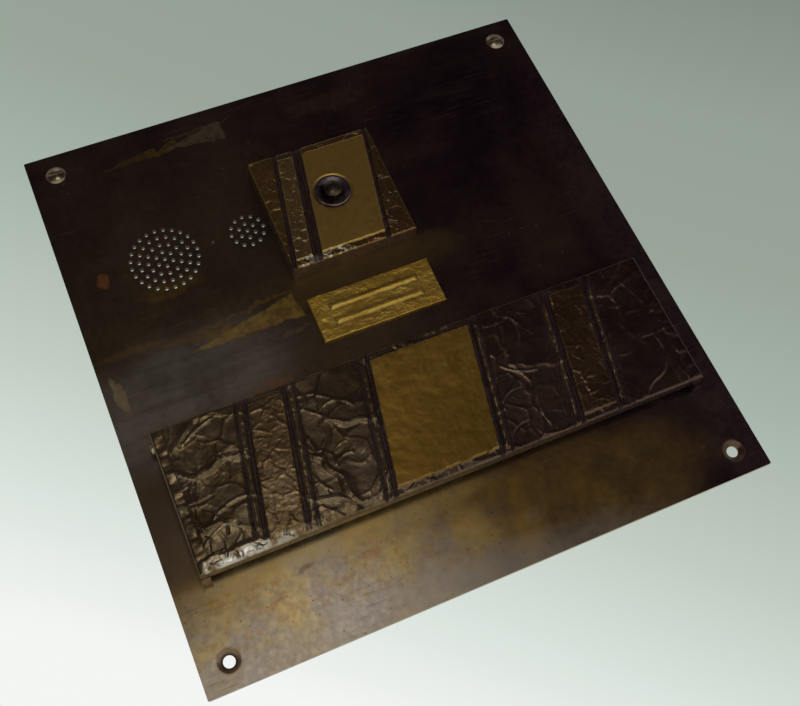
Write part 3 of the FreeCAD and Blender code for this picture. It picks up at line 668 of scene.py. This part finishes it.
    def wall_mask(self):
        """1 on the walls of holes and on the sheet's edges, 0 on its two faces."""
        normal = self.tree.nodes.new("ShaderNodeTexCoord").outputs["Normal"]
        split = self.tree.nodes.new("ShaderNodeSeparateXYZ")
        self.put(split.inputs[0], normal)
        return self.ranged(self.maths("ABSOLUTE", split.outputs["Y"]), 0.45, 0.25)

    def along(self, axis):
        split = self.tree.nodes.new("ShaderNodeSeparateXYZ")
        self.put(split.inputs[0], self.place)
        return split.outputs[axis]

    def attribute(self, name):
        node = self.tree.nodes.new("ShaderNodeAttribute")
        node.attribute_name = name
        return node.outputs["Fac"]

    def bump(self, height, strength, distance):
        node = self.tree.nodes.new("ShaderNodeBump")
        self.put(node.inputs["Height"], height)
        node.inputs["Strength"].default_value = strength
        node.inputs["Distance"].default_value = distance
        previous = self.shader.inputs["Normal"].links
        if previous:
            self.link(previous[0].from_socket, node.inputs["Normal"])
        self.link(node.outputs["Normal"], self.shader.inputs["Normal"])

    def finish(self, colour, rough, metal):
        self.put(self.shader.inputs["Base Color"], colour)
        self.put(self.shader.inputs["Roughness"], rough)
        self.put(self.shader.inputs["Metallic"], metal)
        return self.material


def give(obj, material):
    obj.data.materials.clear()
    obj.data.materials.append(material)


PATINA_DARK = (0.040, 0.018, 0.028)
PATINA_BROWN = (0.085, 0.051, 0.036)
PATINA_OLIVE = (0.15, 0.108, 0.050)
WORN_GOLD = (0.50, 0.30, 0.055)
DULL_GOLD = (0.36, 0.205, 0.036)
COPPERY = (0.40, 0.17, 0.06)
SILVERY = (0.66, 0.66, 0.60)
# cast ground colours for painted light: lighter on the left, darker on the right
CAST_LIT_LEFT = (0.24, 0.185, 0.105)
CAST_SHADED_RIGHT = (0.135, 0.085, 0.068)
CAST_WARM = (0.20, 0.125, 0.05)
# lighter gold for a painted sheen on the upper casting
SHEEN_GOLD = (0.66, 0.44, 0.11)
# lighter brown for the casting's side walls, a painted light from below
LIT_WALL_BROWN = (0.38, 0.215, 0.12)
RESIDUE = (0.30, 0.225, 0.13)
EDGE_PURPLE = (0.125, 0.075, 0.075)
DEEP_GOLD = (0.22, 0.125, 0.022)
CUT_BRASS = (0.52, 0.42, 0.24)
# pale grey for painted highlight and sheen on the sheet
HIGHLIGHT_GREY = (0.37, 0.335, 0.295)
PALE_GOLD = (0.64, 0.49, 0.215)
MOTTLE_BROWN = (0.34, 0.20, 0.085)
HOLE_BROWN = (0.26, 0.16, 0.09)
BACK_BRONZE = (0.19, 0.125, 0.06)
# grey for a painted sheen on the sheet
SHEEN_GREY = (0.30, 0.27, 0.215)
STRIP_OLIVE = (0.20, 0.13, 0.045)
PATCH_GOLD = (0.64, 0.43, 0.085)
SCRATCH = (0.20, 0.13, 0.075)


def cast_bronze():
    """Patinated casting: dark in the grooves, golden where it is worn, with painted light: lighter on the
    left and darker to the right, lighter side walls, a painted sheen on the upper gold, painted highlights
    on the crushed strips and painted shade round the bell hole.
    """
    p = Paint("cast_bronze")
    polish, dirt_and_shade, hue = p.attribute("polish"), p.attribute("dirt_and_shade"), p.attribute("hue")
    cloud = p.noise(38.0, 5.0, 0.6)
    fine = p.noise(420.0, 4.0, 0.6)
    along, up = p.along("X"), p.along("Z")
    # painted light and shade: the cast ground goes from lighter on the left to darker on the right
    painted_shade_to_right = p.ranged(along, -0.16, 0.12)
    olive = p.blend(painted_shade_to_right, CAST_LIT_LEFT, CAST_SHADED_RIGHT)
    brown = p.blend(painted_shade_to_right, PATINA_OLIVE, PATINA_BROWN)
    # upper part (the bell block): a warmer ground, which is its own tone, and a lighter gold, which is a
    # painted sheen
    upper_tone_and_sheen = p.ranged(up, 0.0, 0.03)
    olive = p.blend(upper_tone_and_sheen, olive, CAST_WARM)
    patina = p.blend(p.ranged(cloud, 0.35, 0.68), brown, olive)
    patina = p.blend(p.times(p.ranged(fine, 0.35, 0.7), 0.35), patina, PATINA_DARK)
    gold_cloud = p.noise(75.0, 6.0, 0.65, 0.6)
    gold = p.blend(p.ranged(gold_cloud, 0.3, 0.7), DULL_GOLD, WORN_GOLD)
    gold = p.blend(p.times(upper_tone_and_sheen, 0.6), gold, SHEEN_GOLD)
    gold = p.blend(p.times(p.ranged(up, -0.035, -0.11), 0.85), gold, DEEP_GOLD)
    gold = p.blend(p.times(p.specks(260.0, 0.22), 0.25), gold, PATINA_OLIVE)
    # gold where the relief is worn, and where polish holds a painted highlight
    wear_and_highlight = p.maths("ADD", polish, p.times(p.ranged(cloud, 0.5, 0.75), 0.10), clamp=True)
    colour = p.blend(wear_and_highlight, patina, gold)
    copper_share = p.times(p.ranged(hue, 0.0, 1.0), 0.85)
    colour = p.blend(copper_share, colour, COPPERY)
    silver_share = p.times(p.ranged(hue, 0.0, -1.0), p.maths("ADD", p.times(polish, 0.75), 0.12))
    colour = p.blend(silver_share, colour, SILVERY)
    # dark patina in the grooves and creases, and painted shade round the bell hole
    colour = p.blend(p.times(dirt_and_shade, 0.88), colour, PATINA_DARK)
    # side walls: lighter brown than the faces as painted light, going dark to the right as painted shade
    wall = p.wall_mask()
    lit_wall_tint = p.blend(p.ranged(cloud, 0.38, 0.62), LIT_WALL_BROWN, PATINA_OLIVE)
    lit_wall_tint = p.blend(p.times(p.ranged(fine, 0.45, 0.65), 0.6), lit_wall_tint, PATINA_BROWN)
    colour = p.blend(p.times(wall, 0.8), colour, p.blend(painted_shade_to_right, lit_wall_tint, PATINA_DARK))
    rough = p.maths("ADD", p.ranged(fine, 0.2, 0.8, 0.22, 0.33), p.times(dirt_and_shade, 0.2))
    rough = p.maths("ADD", rough, p.times(polish, 0.06))
    rough = p.maths("SUBTRACT", rough, p.times(silver_share, 0.09))
    calmer = p.ranged(polish, 0.5, 1.0, 1.0, 0.45)
    p.bump(p.times(p.noise(900.0, 3.0, 0.6), calmer), 0.25, 0.00012)
    p.bump(p.times(p.noise(230.0, 4.0, 0.6), calmer), 0.22, 0.0003)
    metal = p.maths("SUBTRACT", 0.95, p.maths("ADD", p.times(dirt_and_shade, 0.45), p.times(wall, 0.35)), clamp=True)
    return p.finish(colour, rough, metal)


def stains_and_painted_light(p, colour, cloud, blotch, mottle, wander):
    """Golden worn strip along the bottom, and painted light: a lighter left side, a painted highlight over
    the strip's left end, a paler bottom edge, a painted sheen above the flap and a painted golden
    reflection under the block.
    """
    # painted light: the left of the sheet is lighter, as the lamp's sheen falls off to the right
    left = p.blob((-120, 0), (150, 150), 0.9, 2.0, 0.0, wander)
    colour = p.blend(p.times(left, 0.55), colour, PATINA_OLIVE)
    strip = p.blob((-50, -148), (160, 37), 0.9, 3.0, 0.0, wander)
    worn = p.times(strip, p.ranged(cloud, 0.2, 0.6, 0.55, 1.0))
    gold = p.blend(p.ranged(blotch, 0.30, 0.66), STRIP_OLIVE, DULL_GOLD)
    colour = p.blend(p.times(worn, 0.85), colour, gold)
    streaks = p.noise(60.0, 5.0, 0.7, 0.2, p.mapped((0.22, 1.0, 1.6)))
    colour = p.blend(p.times(p.ranged(streaks, 0.52, 0.72), 0.25), colour, PATINA_OLIVE)

    # painted highlight: a pale grey and gold patch where the lamp's reflection falls, with brown mottling
    lamp_highlight = p.blob((-110, -165), (105, 44), 0.9, 2.0, 4.0, wander)
    lamp_highlight_tint = p.blend(p.ranged(blotch, 0.34, 0.64), HIGHLIGHT_GREY, PALE_GOLD)
    lamp_highlight_tint = p.blend(p.times(p.ranged(mottle, 0.45, 0.62), 0.45), lamp_highlight_tint, MOTTLE_BROWN)
    colour = p.blend(p.times(lamp_highlight, 0.85), colour, lamp_highlight_tint)
    # painted sheen: paler grey along the bottom edge
    low_edge_sheen = p.blob((-70, -174), (150, 20), 0.9, 2.0, 0.0, wander)
    colour = p.blend(p.times(low_edge_sheen, 0.6), colour, HIGHLIGHT_GREY)
    # painted sheen: a streaky grey patch above the flap, where the lamp's reflection spreads
    painted_sheen = p.blob((-122, -10), (62, 34), 0.95, 2.0, 10.0, wander)
    sheen_streaks = p.noise(90.0, 4.0, 0.6, 0.0, p.mapped((0.15, 1.0, 1.8), (0, -0.2, 0)))
    painted_sheen = p.times(painted_sheen, p.ranged(blotch, 0.25, 0.6, 0.4, 0.75), p.ranged(sheen_streaks, 0.3, 0.6, 0.6, 1.0))
    colour = p.blend(painted_sheen, colour, SHEEN_GREY)
    # painted reflection: a golden band under the bell block
    reflection_under_block = p.blob((2, 27), (52, 13), 0.8, 3.0, 0.0, wander)
    colour = p.blend(p.times(reflection_under_block, 0.75), colour, STRIP_OLIVE)
    return colour


def small_marks(p, colour, fine, wander):
    """Tape and polish residues, rust spots and the countersinks' bare rims."""
    ragged = p.wandering(110.0, 0.010)
    torn = p.wandering(170.0, 0.005)
    marks = [
        (p.wedge((-124, 147), (-88, 151), 3.4, torn), DULL_GOLD, 0.42),
        (p.wedge((-96, 146), (-74, 153), 4.0, torn), DULL_GOLD, 0.5),
        (p.wedge((-84, 150), (-44, 152), 7.0, torn), RESIDUE, 0.65),
        (p.blob((-60, 157), (26, 0.8), 0.5, 2.0, 3, ragged), RESIDUE, 0.35),
        (p.blob((25, 149), (26, 7.5), 0.8, 2.0, 0, wander), PATINA_OLIVE, 0.5),
        (p.wedge((-112, 12), (-44, 20), 8.0, torn), PATCH_GOLD, 0.6),
        (p.blob((-66, 14), (22, 2.2), 0.8, 2.0, 7, torn), COPPERY, 0.4),
        (p.wedge((-122, 20), (-86, 18), 3.5, ragged), DULL_GOLD, 0.5),
        (p.blob((-75, 27), (30, 1.2), 0.6, 2.0, 8, ragged), DULL_GOLD, 0.5),
        (p.blob((-120, 23), (40, 2.6), 0.8, 2.0, -4, wander), DULL_GOLD, 0.35),
        (p.blob((-53, 4), (10, 1.8), 0.6, 2.0, 5, ragged), RESIDUE, 0.5),
        (p.blob((-156, 3), (3.0, 11), 0.5, 3.0, 8, ragged), PALE_GOLD, 0.5),
        (p.blob((-75, -119), (80, 6), 0.95, 2.0, 0, wander), PALE_GOLD, 0.3),
        (p.blob((-143.5, 74.5), (5.0, 5.0), 0.35, 2.0, 0, ragged), COPPERY, 0.9),
        (p.blob((-75, -22), (12, 3.0), 0.7, 2.0, 0, ragged), COPPERY, 0.5),
        (p.blob((-75, 34), (35, 5), 0.8, 2.0, 5, wander), PATINA_OLIVE, 0.5),
        (p.blob((-108, 56), (18, 6), 0.8, 2.0, 0, wander), DULL_GOLD, 0.4),
        (p.blob((163, -30), (22, 150), 0.95, 2.5, 0, wander), EDGE_PURPLE, 0.6),
        (p.blob((-149, -155.5), (6.8, 6.8), 0.1), HOLE_BROWN, 0.85),
        (p.blob((149, -155.5), (6.8, 6.8), 0.1), HOLE_BROWN, 0.5),
        (p.blob((-96, -126), (4, 1.8), 0.8, 2.0, 20, ragged), PATINA_BROWN, 0.45),
        (p.blob((-60, -132), (5, 3.0), 0.6, 2.0, 20, ragged), COPPERY, 0.45),
        (p.blob((-118, -138), (6, 2.0), 0.6, 2.0, 20, ragged), COPPERY, 0.4),
        (p.blob((28, -146), (6, 4.0), 0.6, 2.0, 20, ragged), RESIDUE, 0.4),
    ]
    for mask, tint, share in marks:
        patchy = p.times(mask, p.ranged(fine, 0.25, 0.6, 0.35, 1.0), share)
        colour = p.blend(patchy, colour, tint)
    return colour


def sheet_bronze():
    """Dark patinated sheet with worn, scratched and stained areas, and painted highlight, sheen and
    reflection patches.
    """
    p = Paint("sheet_bronze")
    wander = p.wandering(45.0, 0.012)
    cloud = p.noise(14.0, 6.0, 0.6, 0.3)
    fine = p.noise(260.0, 5.0, 0.65)
    colour = p.blend(p.ranged(cloud, 0.38, 0.66), PATINA_DARK, PATINA_BROWN)
    blotch = p.noise(30.0, 8.0, 0.72)
    mottle = p.noise(170.0, 6.0, 0.75)
    colour = stains_and_painted_light(p, colour, cloud, blotch, mottle, wander)
    colour = small_marks(p, colour, fine, wander)
    dots = p.times(p.specks(95.0, 0.11), p.ranged(cloud, 0.45, 0.6))
    colour = p.blend(p.times(dots, 0.35), colour, RESIDUE)
    pits = p.specks(210.0, 0.13, p.wandering(300.0, 0.002))
    colour = p.blend(p.times(pits, 0.5), colour, PATINA_DARK)

    sparse = p.ranged(p.noise(22.0, 2.0), 0.48, 0.62)
    lines = 0.0
    for turn, stretch in ((0.5, (0.05, 1, 1.5)), (-0.3, (0.06, 1, 1.6)), (1.3, (0.05, 1, 1.4))):
        track = p.noise(620.0, 2.0, 0.5, 0.0, p.mapped(stretch, (0, turn, 0)))
        lines = p.maths("MAXIMUM", lines, p.ranged(track, 0.655, 0.70))
    lines = p.times(lines, sparse)
    colour = p.blend(p.times(lines, 0.3), colour, SCRATCH)
    front = p.ranged(p.along("Y"), PLATE_FACE_Y * 0.3, PLATE_FACE_Y * 0.7)
    back = p.blend(p.ranged(blotch, 0.35, 0.65), PATINA_BROWN, BACK_BRONZE)
    back = p.blend(p.times(p.ranged(mottle, 0.5, 0.65), 0.4), back, PATINA_DARK)
    colour = p.blend(front, back, colour)
    grilles = p.blob((-86, 76.5), (48, 30), 0.2, 4.0)
    cut_tint = p.blend(grilles, CUT_BRASS, PATINA_BROWN)
    colour = p.blend(p.times(p.wall_mask(), 0.85), colour, cut_tint)
    rough = p.maths("ADD", p.ranged(fine, 0.25, 0.75, 0.28, 0.36), p.times(lines, 0.06))
    rough = p.maths("ADD", rough, p.times(p.ranged(cloud, 0.4, 0.65), 0.03))
    rough = p.maths("ADD", rough, p.ranged(blotch, 0.3, 0.7, 0.0, 0.05))
    p.bump(p.noise(30.0, 3.0, 0.5), 0.04, 0.0006)
    p.bump(fine, 0.16, 0.00012)
    return p.finish(colour, rough, 0.93)


def plain_metal(name, light, dark, rough_low, rough_high, scale=500.0, metal=1.0, grain=0.15):
    """Turned or plated metal with blotches and fine grain."""
    p = Paint(name)
    blotch = p.noise(scale * 0.4, 5.0, 0.6, 0.4)
    fine = p.noise(scale * 3.0, 3.0, 0.6)
    colour = p.blend(p.ranged(blotch, 0.32, 0.68), dark, light)
    colour = p.blend(p.times(p.ranged(fine, 0.55, 0.75), 0.3), colour, dark)
    p.bump(fine, grain, 0.00005)
    return p.finish(colour, p.ranged(blotch, 0.3, 0.7, rough_low, rough_high), metal)


def name_brass():
    """Rough golden casting, with a painted highlight on the bars' tops and painted shade round their foot.
    """
    p = Paint("name_brass")
    polish, dirt_and_shade = p.attribute("polish"), p.attribute("dirt_and_shade")
    cloud = p.noise(90.0, 6.0, 0.65, 0.5)
    fine = p.noise(900.0, 4.0, 0.65)
    colour = p.blend(p.ranged(cloud, 0.3, 0.7), (0.50, 0.29, 0.045), (0.72, 0.48, 0.09))
    colour = p.blend(p.times(p.ranged(p.noise(40.0, 3.0), 0.5, 0.75), 0.4), colour, (0.42, 0.20, 0.05))
    colour = p.blend(p.times(p.ranged(fine, 0.5, 0.75), 0.3), colour, PATINA_OLIVE)
    # painted shade round the foot of the bars
    colour = p.blend(p.times(dirt_and_shade, 0.9), colour, PATINA_OLIVE)
    # painted highlight on the bars' tops
    bar_highlight = p.ranged(polish, 0.85, 1.05)
    colour = p.blend(p.times(bar_highlight, 0.15), colour, (0.85, 0.68, 0.30))
    p.bump(fine, 0.45, 0.00025)
    p.bump(p.noise(320.0, 4.0, 0.6), 0.6, 0.0005)
    return p.finish(colour, p.ranged(cloud, 0.3, 0.7, 0.46, 0.38), 0.92)


def rubber():
    """Black rubber with a moulded grain."""
    p = Paint("rubber_pad")
    fine = p.noise(1500.0, 3.0, 0.6)
    colour = p.blend(p.ranged(p.noise(200.0), 0.3, 0.7), (0.012, 0.012, 0.012), (0.03, 0.028, 0.026))
    p.bump(fine, 0.3, 0.0001)
    return p.finish(colour, p.ranged(fine, 0.3, 0.7, 0.65, 0.85), 0.0)


def phenolic():
    """Brown moulded insulator."""
    p = Paint("phenolic")
    swirl = p.noise(300.0, 5.0, 0.6, 1.2)
    colour = p.blend(p.ranged(swirl, 0.3, 0.7), (0.05, 0.022, 0.012), (0.095, 0.045, 0.024))
    p.bump(p.noise(1800.0, 3.0, 0.6), 0.1, 0.00005)
    return p.finish(colour, p.ranged(swirl, 0.3, 0.7, 0.32, 0.46), 0.0)


# ---------------------------------------------------------------- pieces
def join(objects, name):
    """One object out of several."""
    bpy.ops.object.select_all(action="DESELECT")
    for obj in objects:
        obj.select_set(True)
    bpy.context.view_layer.objects.active = objects[0]
    bpy.ops.object.join()
    objects[0].name = name
    return objects[0]


def make_pieces():
    bronze = cast_bronze()
    flap_face = relief_object(flap_relief(), "flap_face", FLAP_SKIRT, FLAP_TOP)
    flap_back = back_of("letter_flap", "flap_back", FLAP_SKIRT)
    flap = join([flap_face, flap_back], "flap_casting")
    give(flap, bronze)
    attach(flap, "flap")
    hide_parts("letter_flap")

    block, hole = block_relief()
    block_face = relief_object(block, "block_face", BLOCK_SKIRT, BLOCK_TOP, 0.0, hole)
    block_back = back_of("bell_block", "block_back", BLOCK_SKIRT)
    bell_block = join([block_face, block_back], "bell_block_casting")
    give(bell_block, bronze)
    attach(bell_block, "plate")
    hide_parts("bell_block")

    name_plate = relief_object(name_relief(), "name_plate_casting", 0.0, NAME_TOP, 0.5)
    give(name_plate, name_brass())
    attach(name_plate, "plate")
    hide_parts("name_plate")


def make_spring(material):
    """Coil of the bell push: a copy of the CAD spring, riding with the plate."""
    coil = bpy.data.objects.new("bell_spring_coil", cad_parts["bell_spring"].data.copy())
    bpy.context.scene.collection.objects.link(coil)
    give(coil, material)
    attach(coil, "plate")
    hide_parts("bell_spring")
    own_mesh(coil)


def paint_cad():
    brass = plain_metal("turned_brass", (0.45, 0.34, 0.16), (0.24, 0.17, 0.08), 0.30, 0.48)
    steel = plain_metal("zinc_steel", (0.55, 0.55, 0.53), (0.34, 0.34, 0.33), 0.28, 0.45)
    nickel = plain_metal("nickel_brass", (0.48, 0.40, 0.29), (0.20, 0.15, 0.09), 0.20, 0.30, 300.0)
    dark = plain_metal("dark_bronze", (0.24, 0.18, 0.19), (0.07, 0.045, 0.055), 0.20, 0.30, 250.0)
    button = plain_metal("button_bronze", (0.13, 0.10, 0.07), (0.055, 0.04, 0.03), 0.25, 0.38, 250.0)
    copper = plain_metal("bare_copper", (0.62, 0.30, 0.17), (0.34, 0.14, 0.07), 0.28, 0.42)
    lug = plain_metal("lug_bronze", (0.14, 0.10, 0.055), (0.05, 0.034, 0.022), 0.38, 0.55, 200.0, 0.95, 0.4)
    pad = rubber()
    wanted = {
        "base_plate": sheet_bronze(),
        "hinge_lug_right": lug, "hinge_lug_left": lug,
        "hinge_pin_right": nickel, "hinge_pin_left": nickel,
        "hinge_washers": brass, "lug_screws": steel, "block_screws": steel,
        "name_plate_screws": steel,
        "flap_buffer_right": pad, "flap_buffer_left": pad,
        "bell_bezel": dark, "bell_button": button, "bell_ring_nut": brass,
        "bell_bridge": copper, "bell_carrier": phenolic(),
        "bell_contacts": brass, "terminal_washers": brass, "terminal_nuts": brass,
        "fixing_screw_right": nickel, "fixing_screw_left": nickel,
    }
    for node, material in wanted.items():
        give(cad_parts[node], material)
    make_spring(steel)


# ---------------------------------------------------------------- studio
def make_world():
    """Pale gradient behind the object; darker room in front of it, for the bronze to mirror."""
    world = bpy.data.worlds.new("studio")
    bpy.context.scene.world = world
    world.use_nodes = True
    tree = world.node_tree
    tree.nodes.clear()
    output = tree.nodes.new("ShaderNodeOutputWorld")
    place = tree.nodes.new("ShaderNodeTexCoord").outputs["Generated"]

    def dot(direction):
        node = tree.nodes.new("ShaderNodeVectorMath")
        node.operation = "DOT_PRODUCT"
        tree.links.new(place, node.inputs[0])
        node.inputs[1].default_value = direction
        return node.outputs["Value"]

    def ramp(value, stops):
        spread = tree.nodes.new("ShaderNodeMapRange")
        spread.inputs["From Min"].default_value = -1.0
        spread.inputs["From Max"].default_value = 1.0
        tree.links.new(value, spread.inputs["Value"])
        node = tree.nodes.new("ShaderNodeValToRGB")
        while len(node.color_ramp.elements) < len(stops):
            node.color_ramp.elements.new(0.5)
        for element, (position, colour) in zip(node.color_ramp.elements, stops):
            element.position = (position + 1.0) / 2.0
            element.color = (*colour, 1.0)
        tree.links.new(spread.outputs["Result"], node.inputs["Fac"])
        return node.outputs["Color"]

    def background(colour):
        node = tree.nodes.new("ShaderNodeBackground")
        tree.links.new(colour, node.inputs["Color"])
        return node.outputs[0]

    seen = ramp(dot((-0.596, 0.417, -0.687)), [
        (-0.85, (0.56, 0.60, 0.57)), (-0.42, (0.205, 0.240, 0.210)), (-0.28, (0.300, 0.355, 0.305)),
        (-0.16, (0.320, 0.375, 0.320)), (-0.05, (0.385, 0.455, 0.395)), (0.10, (0.54, 0.605, 0.54)),
        (0.20, (0.68, 0.75, 0.70)), (0.32, (0.90, 0.915, 0.90))])
    mirrored = ramp(dot((0.0, 1.0, 0.0)), [
        (-1.0, (0.042, 0.030, 0.040)), (-0.62, (0.050, 0.038, 0.046)), (-0.40, (0.11, 0.10, 0.10)),
        (-0.15, (0.24, 0.24, 0.23)), (0.3, (0.42, 0.43, 0.41))])
    mix = tree.nodes.new("ShaderNodeMixShader")
    rays = tree.nodes.new("ShaderNodeLightPath")
    tree.links.new(rays.outputs["Is Camera Ray"], mix.inputs[0])
    tree.links.new(background(mirrored), mix.inputs[1])
    tree.links.new(background(seen), mix.inputs[2])
    tree.links.new(mix.outputs[0], output.inputs["Surface"])


def area_light(name, position, target, size, power, colour):
    data = bpy.data.lights.new(name, "AREA")
    data.shape = "RECTANGLE"
    data.size, data.size_y = size
    data.energy = power
    data.color = colour
    obj = bpy.data.objects.new(name, data)
    obj.location = position
    aim = Vector(target) - Vector(position)
    obj.rotation_euler = aim.to_track_quat("-Z", "Y").to_euler()
    obj.visible_camera = False
    bpy.context.scene.collection.objects.link(obj)
    return obj


FLOOR_Z = -0.62
FLOOR_HALF = 5.0
FLOOR_GLOW = 0.5


def make_floor():
    """Pale floor; returns it."""
    p = Paint("pale_floor")
    cloud = p.noise(3.0, 3.0, 0.5)
    colour = p.blend(cloud, (0.70, 0.73, 0.70), (0.76, 0.78, 0.76))
    material = p.finish(colour, 0.9, 0.0)
    p.put(p.shader.inputs["Emission Color"], colour)
    p.put(p.shader.inputs["Emission Strength"], FLOOR_GLOW)
    mesh = bpy.data.meshes.new("floor")
    corners = [(x * FLOOR_HALF, y * FLOOR_HALF, FLOOR_Z) for x, y in ((-1, -1), (1, -1), (1, 1), (-1, 1))]
    mesh.from_pydata(corners, [], [(0, 1, 2, 3)])
    mesh.materials.append(material)
    floor = bpy.data.objects.new("floor", mesh)
    bpy.context.scene.collection.objects.link(floor)
    return floor


SENSOR_MM = 36.0
LENS_MM = 48.05
LENS_SHIFT = (0.0199, -0.0023)
CAMERA_AT = (-0.1381, -0.5577, -0.2514)
CAMERA_RIGHT = (0.9184, -0.0545, -0.3918)
CAMERA_AHEAD = (0.2103, 0.9061, 0.3670)


def make_camera():
    """Below and left of the plate, looking up at it, a little turned."""
    data = bpy.data.cameras.new("camera")
    data.sensor_width = SENSOR_MM
    data.lens = LENS_MM
    data.shift_x, data.shift_y = LENS_SHIFT
    camera = bpy.data.objects.new("camera", data)
    bpy.context.scene.collection.objects.link(camera)
    right = Vector(CAMERA_RIGHT).normalized()
    ahead = Vector(CAMERA_AHEAD).normalized()
    right = (right - ahead * right.dot(ahead)).normalized()
    up = right.cross(ahead)
    turn = Matrix((right, up, -ahead)).transposed().to_4x4()
    camera.matrix_world = Matrix.Translation(CAMERA_AT) @ turn
    bpy.context.scene.camera = camera


def spare(light, obj):
    """Keeps a light off one object."""
    rest = bpy.data.collections.new("lit_by_" + light.name)
    rest.objects.link(obj)
    rest.collection_objects[0].light_linking.link_state = "EXCLUDE"
    light.light_linking.receiver_collection = rest


def make_lights(floor):
    middle = (0.0, 0.0, 0.0)
    area_light("window", (-0.03, -1.6, 0.08), middle, (0.42, 0.34), 1.15, (1.0, 0.96, 0.90))
    area_light("overhead", (0.15, -0.62, 1.55), middle, (0.7, 0.5), 0.4, (0.95, 0.97, 1.0))
    low_fill = area_light("low_fill", (-0.25, -0.85, -0.56), (0.0, 0.0, -0.05), (0.9, 0.4), 0.42,
                          (1.0, 0.95, 0.88))
    spare(low_fill, floor)
    area_light("left_fill", (-1.5, -0.55, -0.1), middle, (0.7, 0.9), 0.3, (0.95, 0.97, 1.0))


scene = bpy.context.scene
scene.view_settings.view_transform = "Standard"
make_camera()
make_world()
make_lights(make_floor())
make_pieces()
paint_cad()
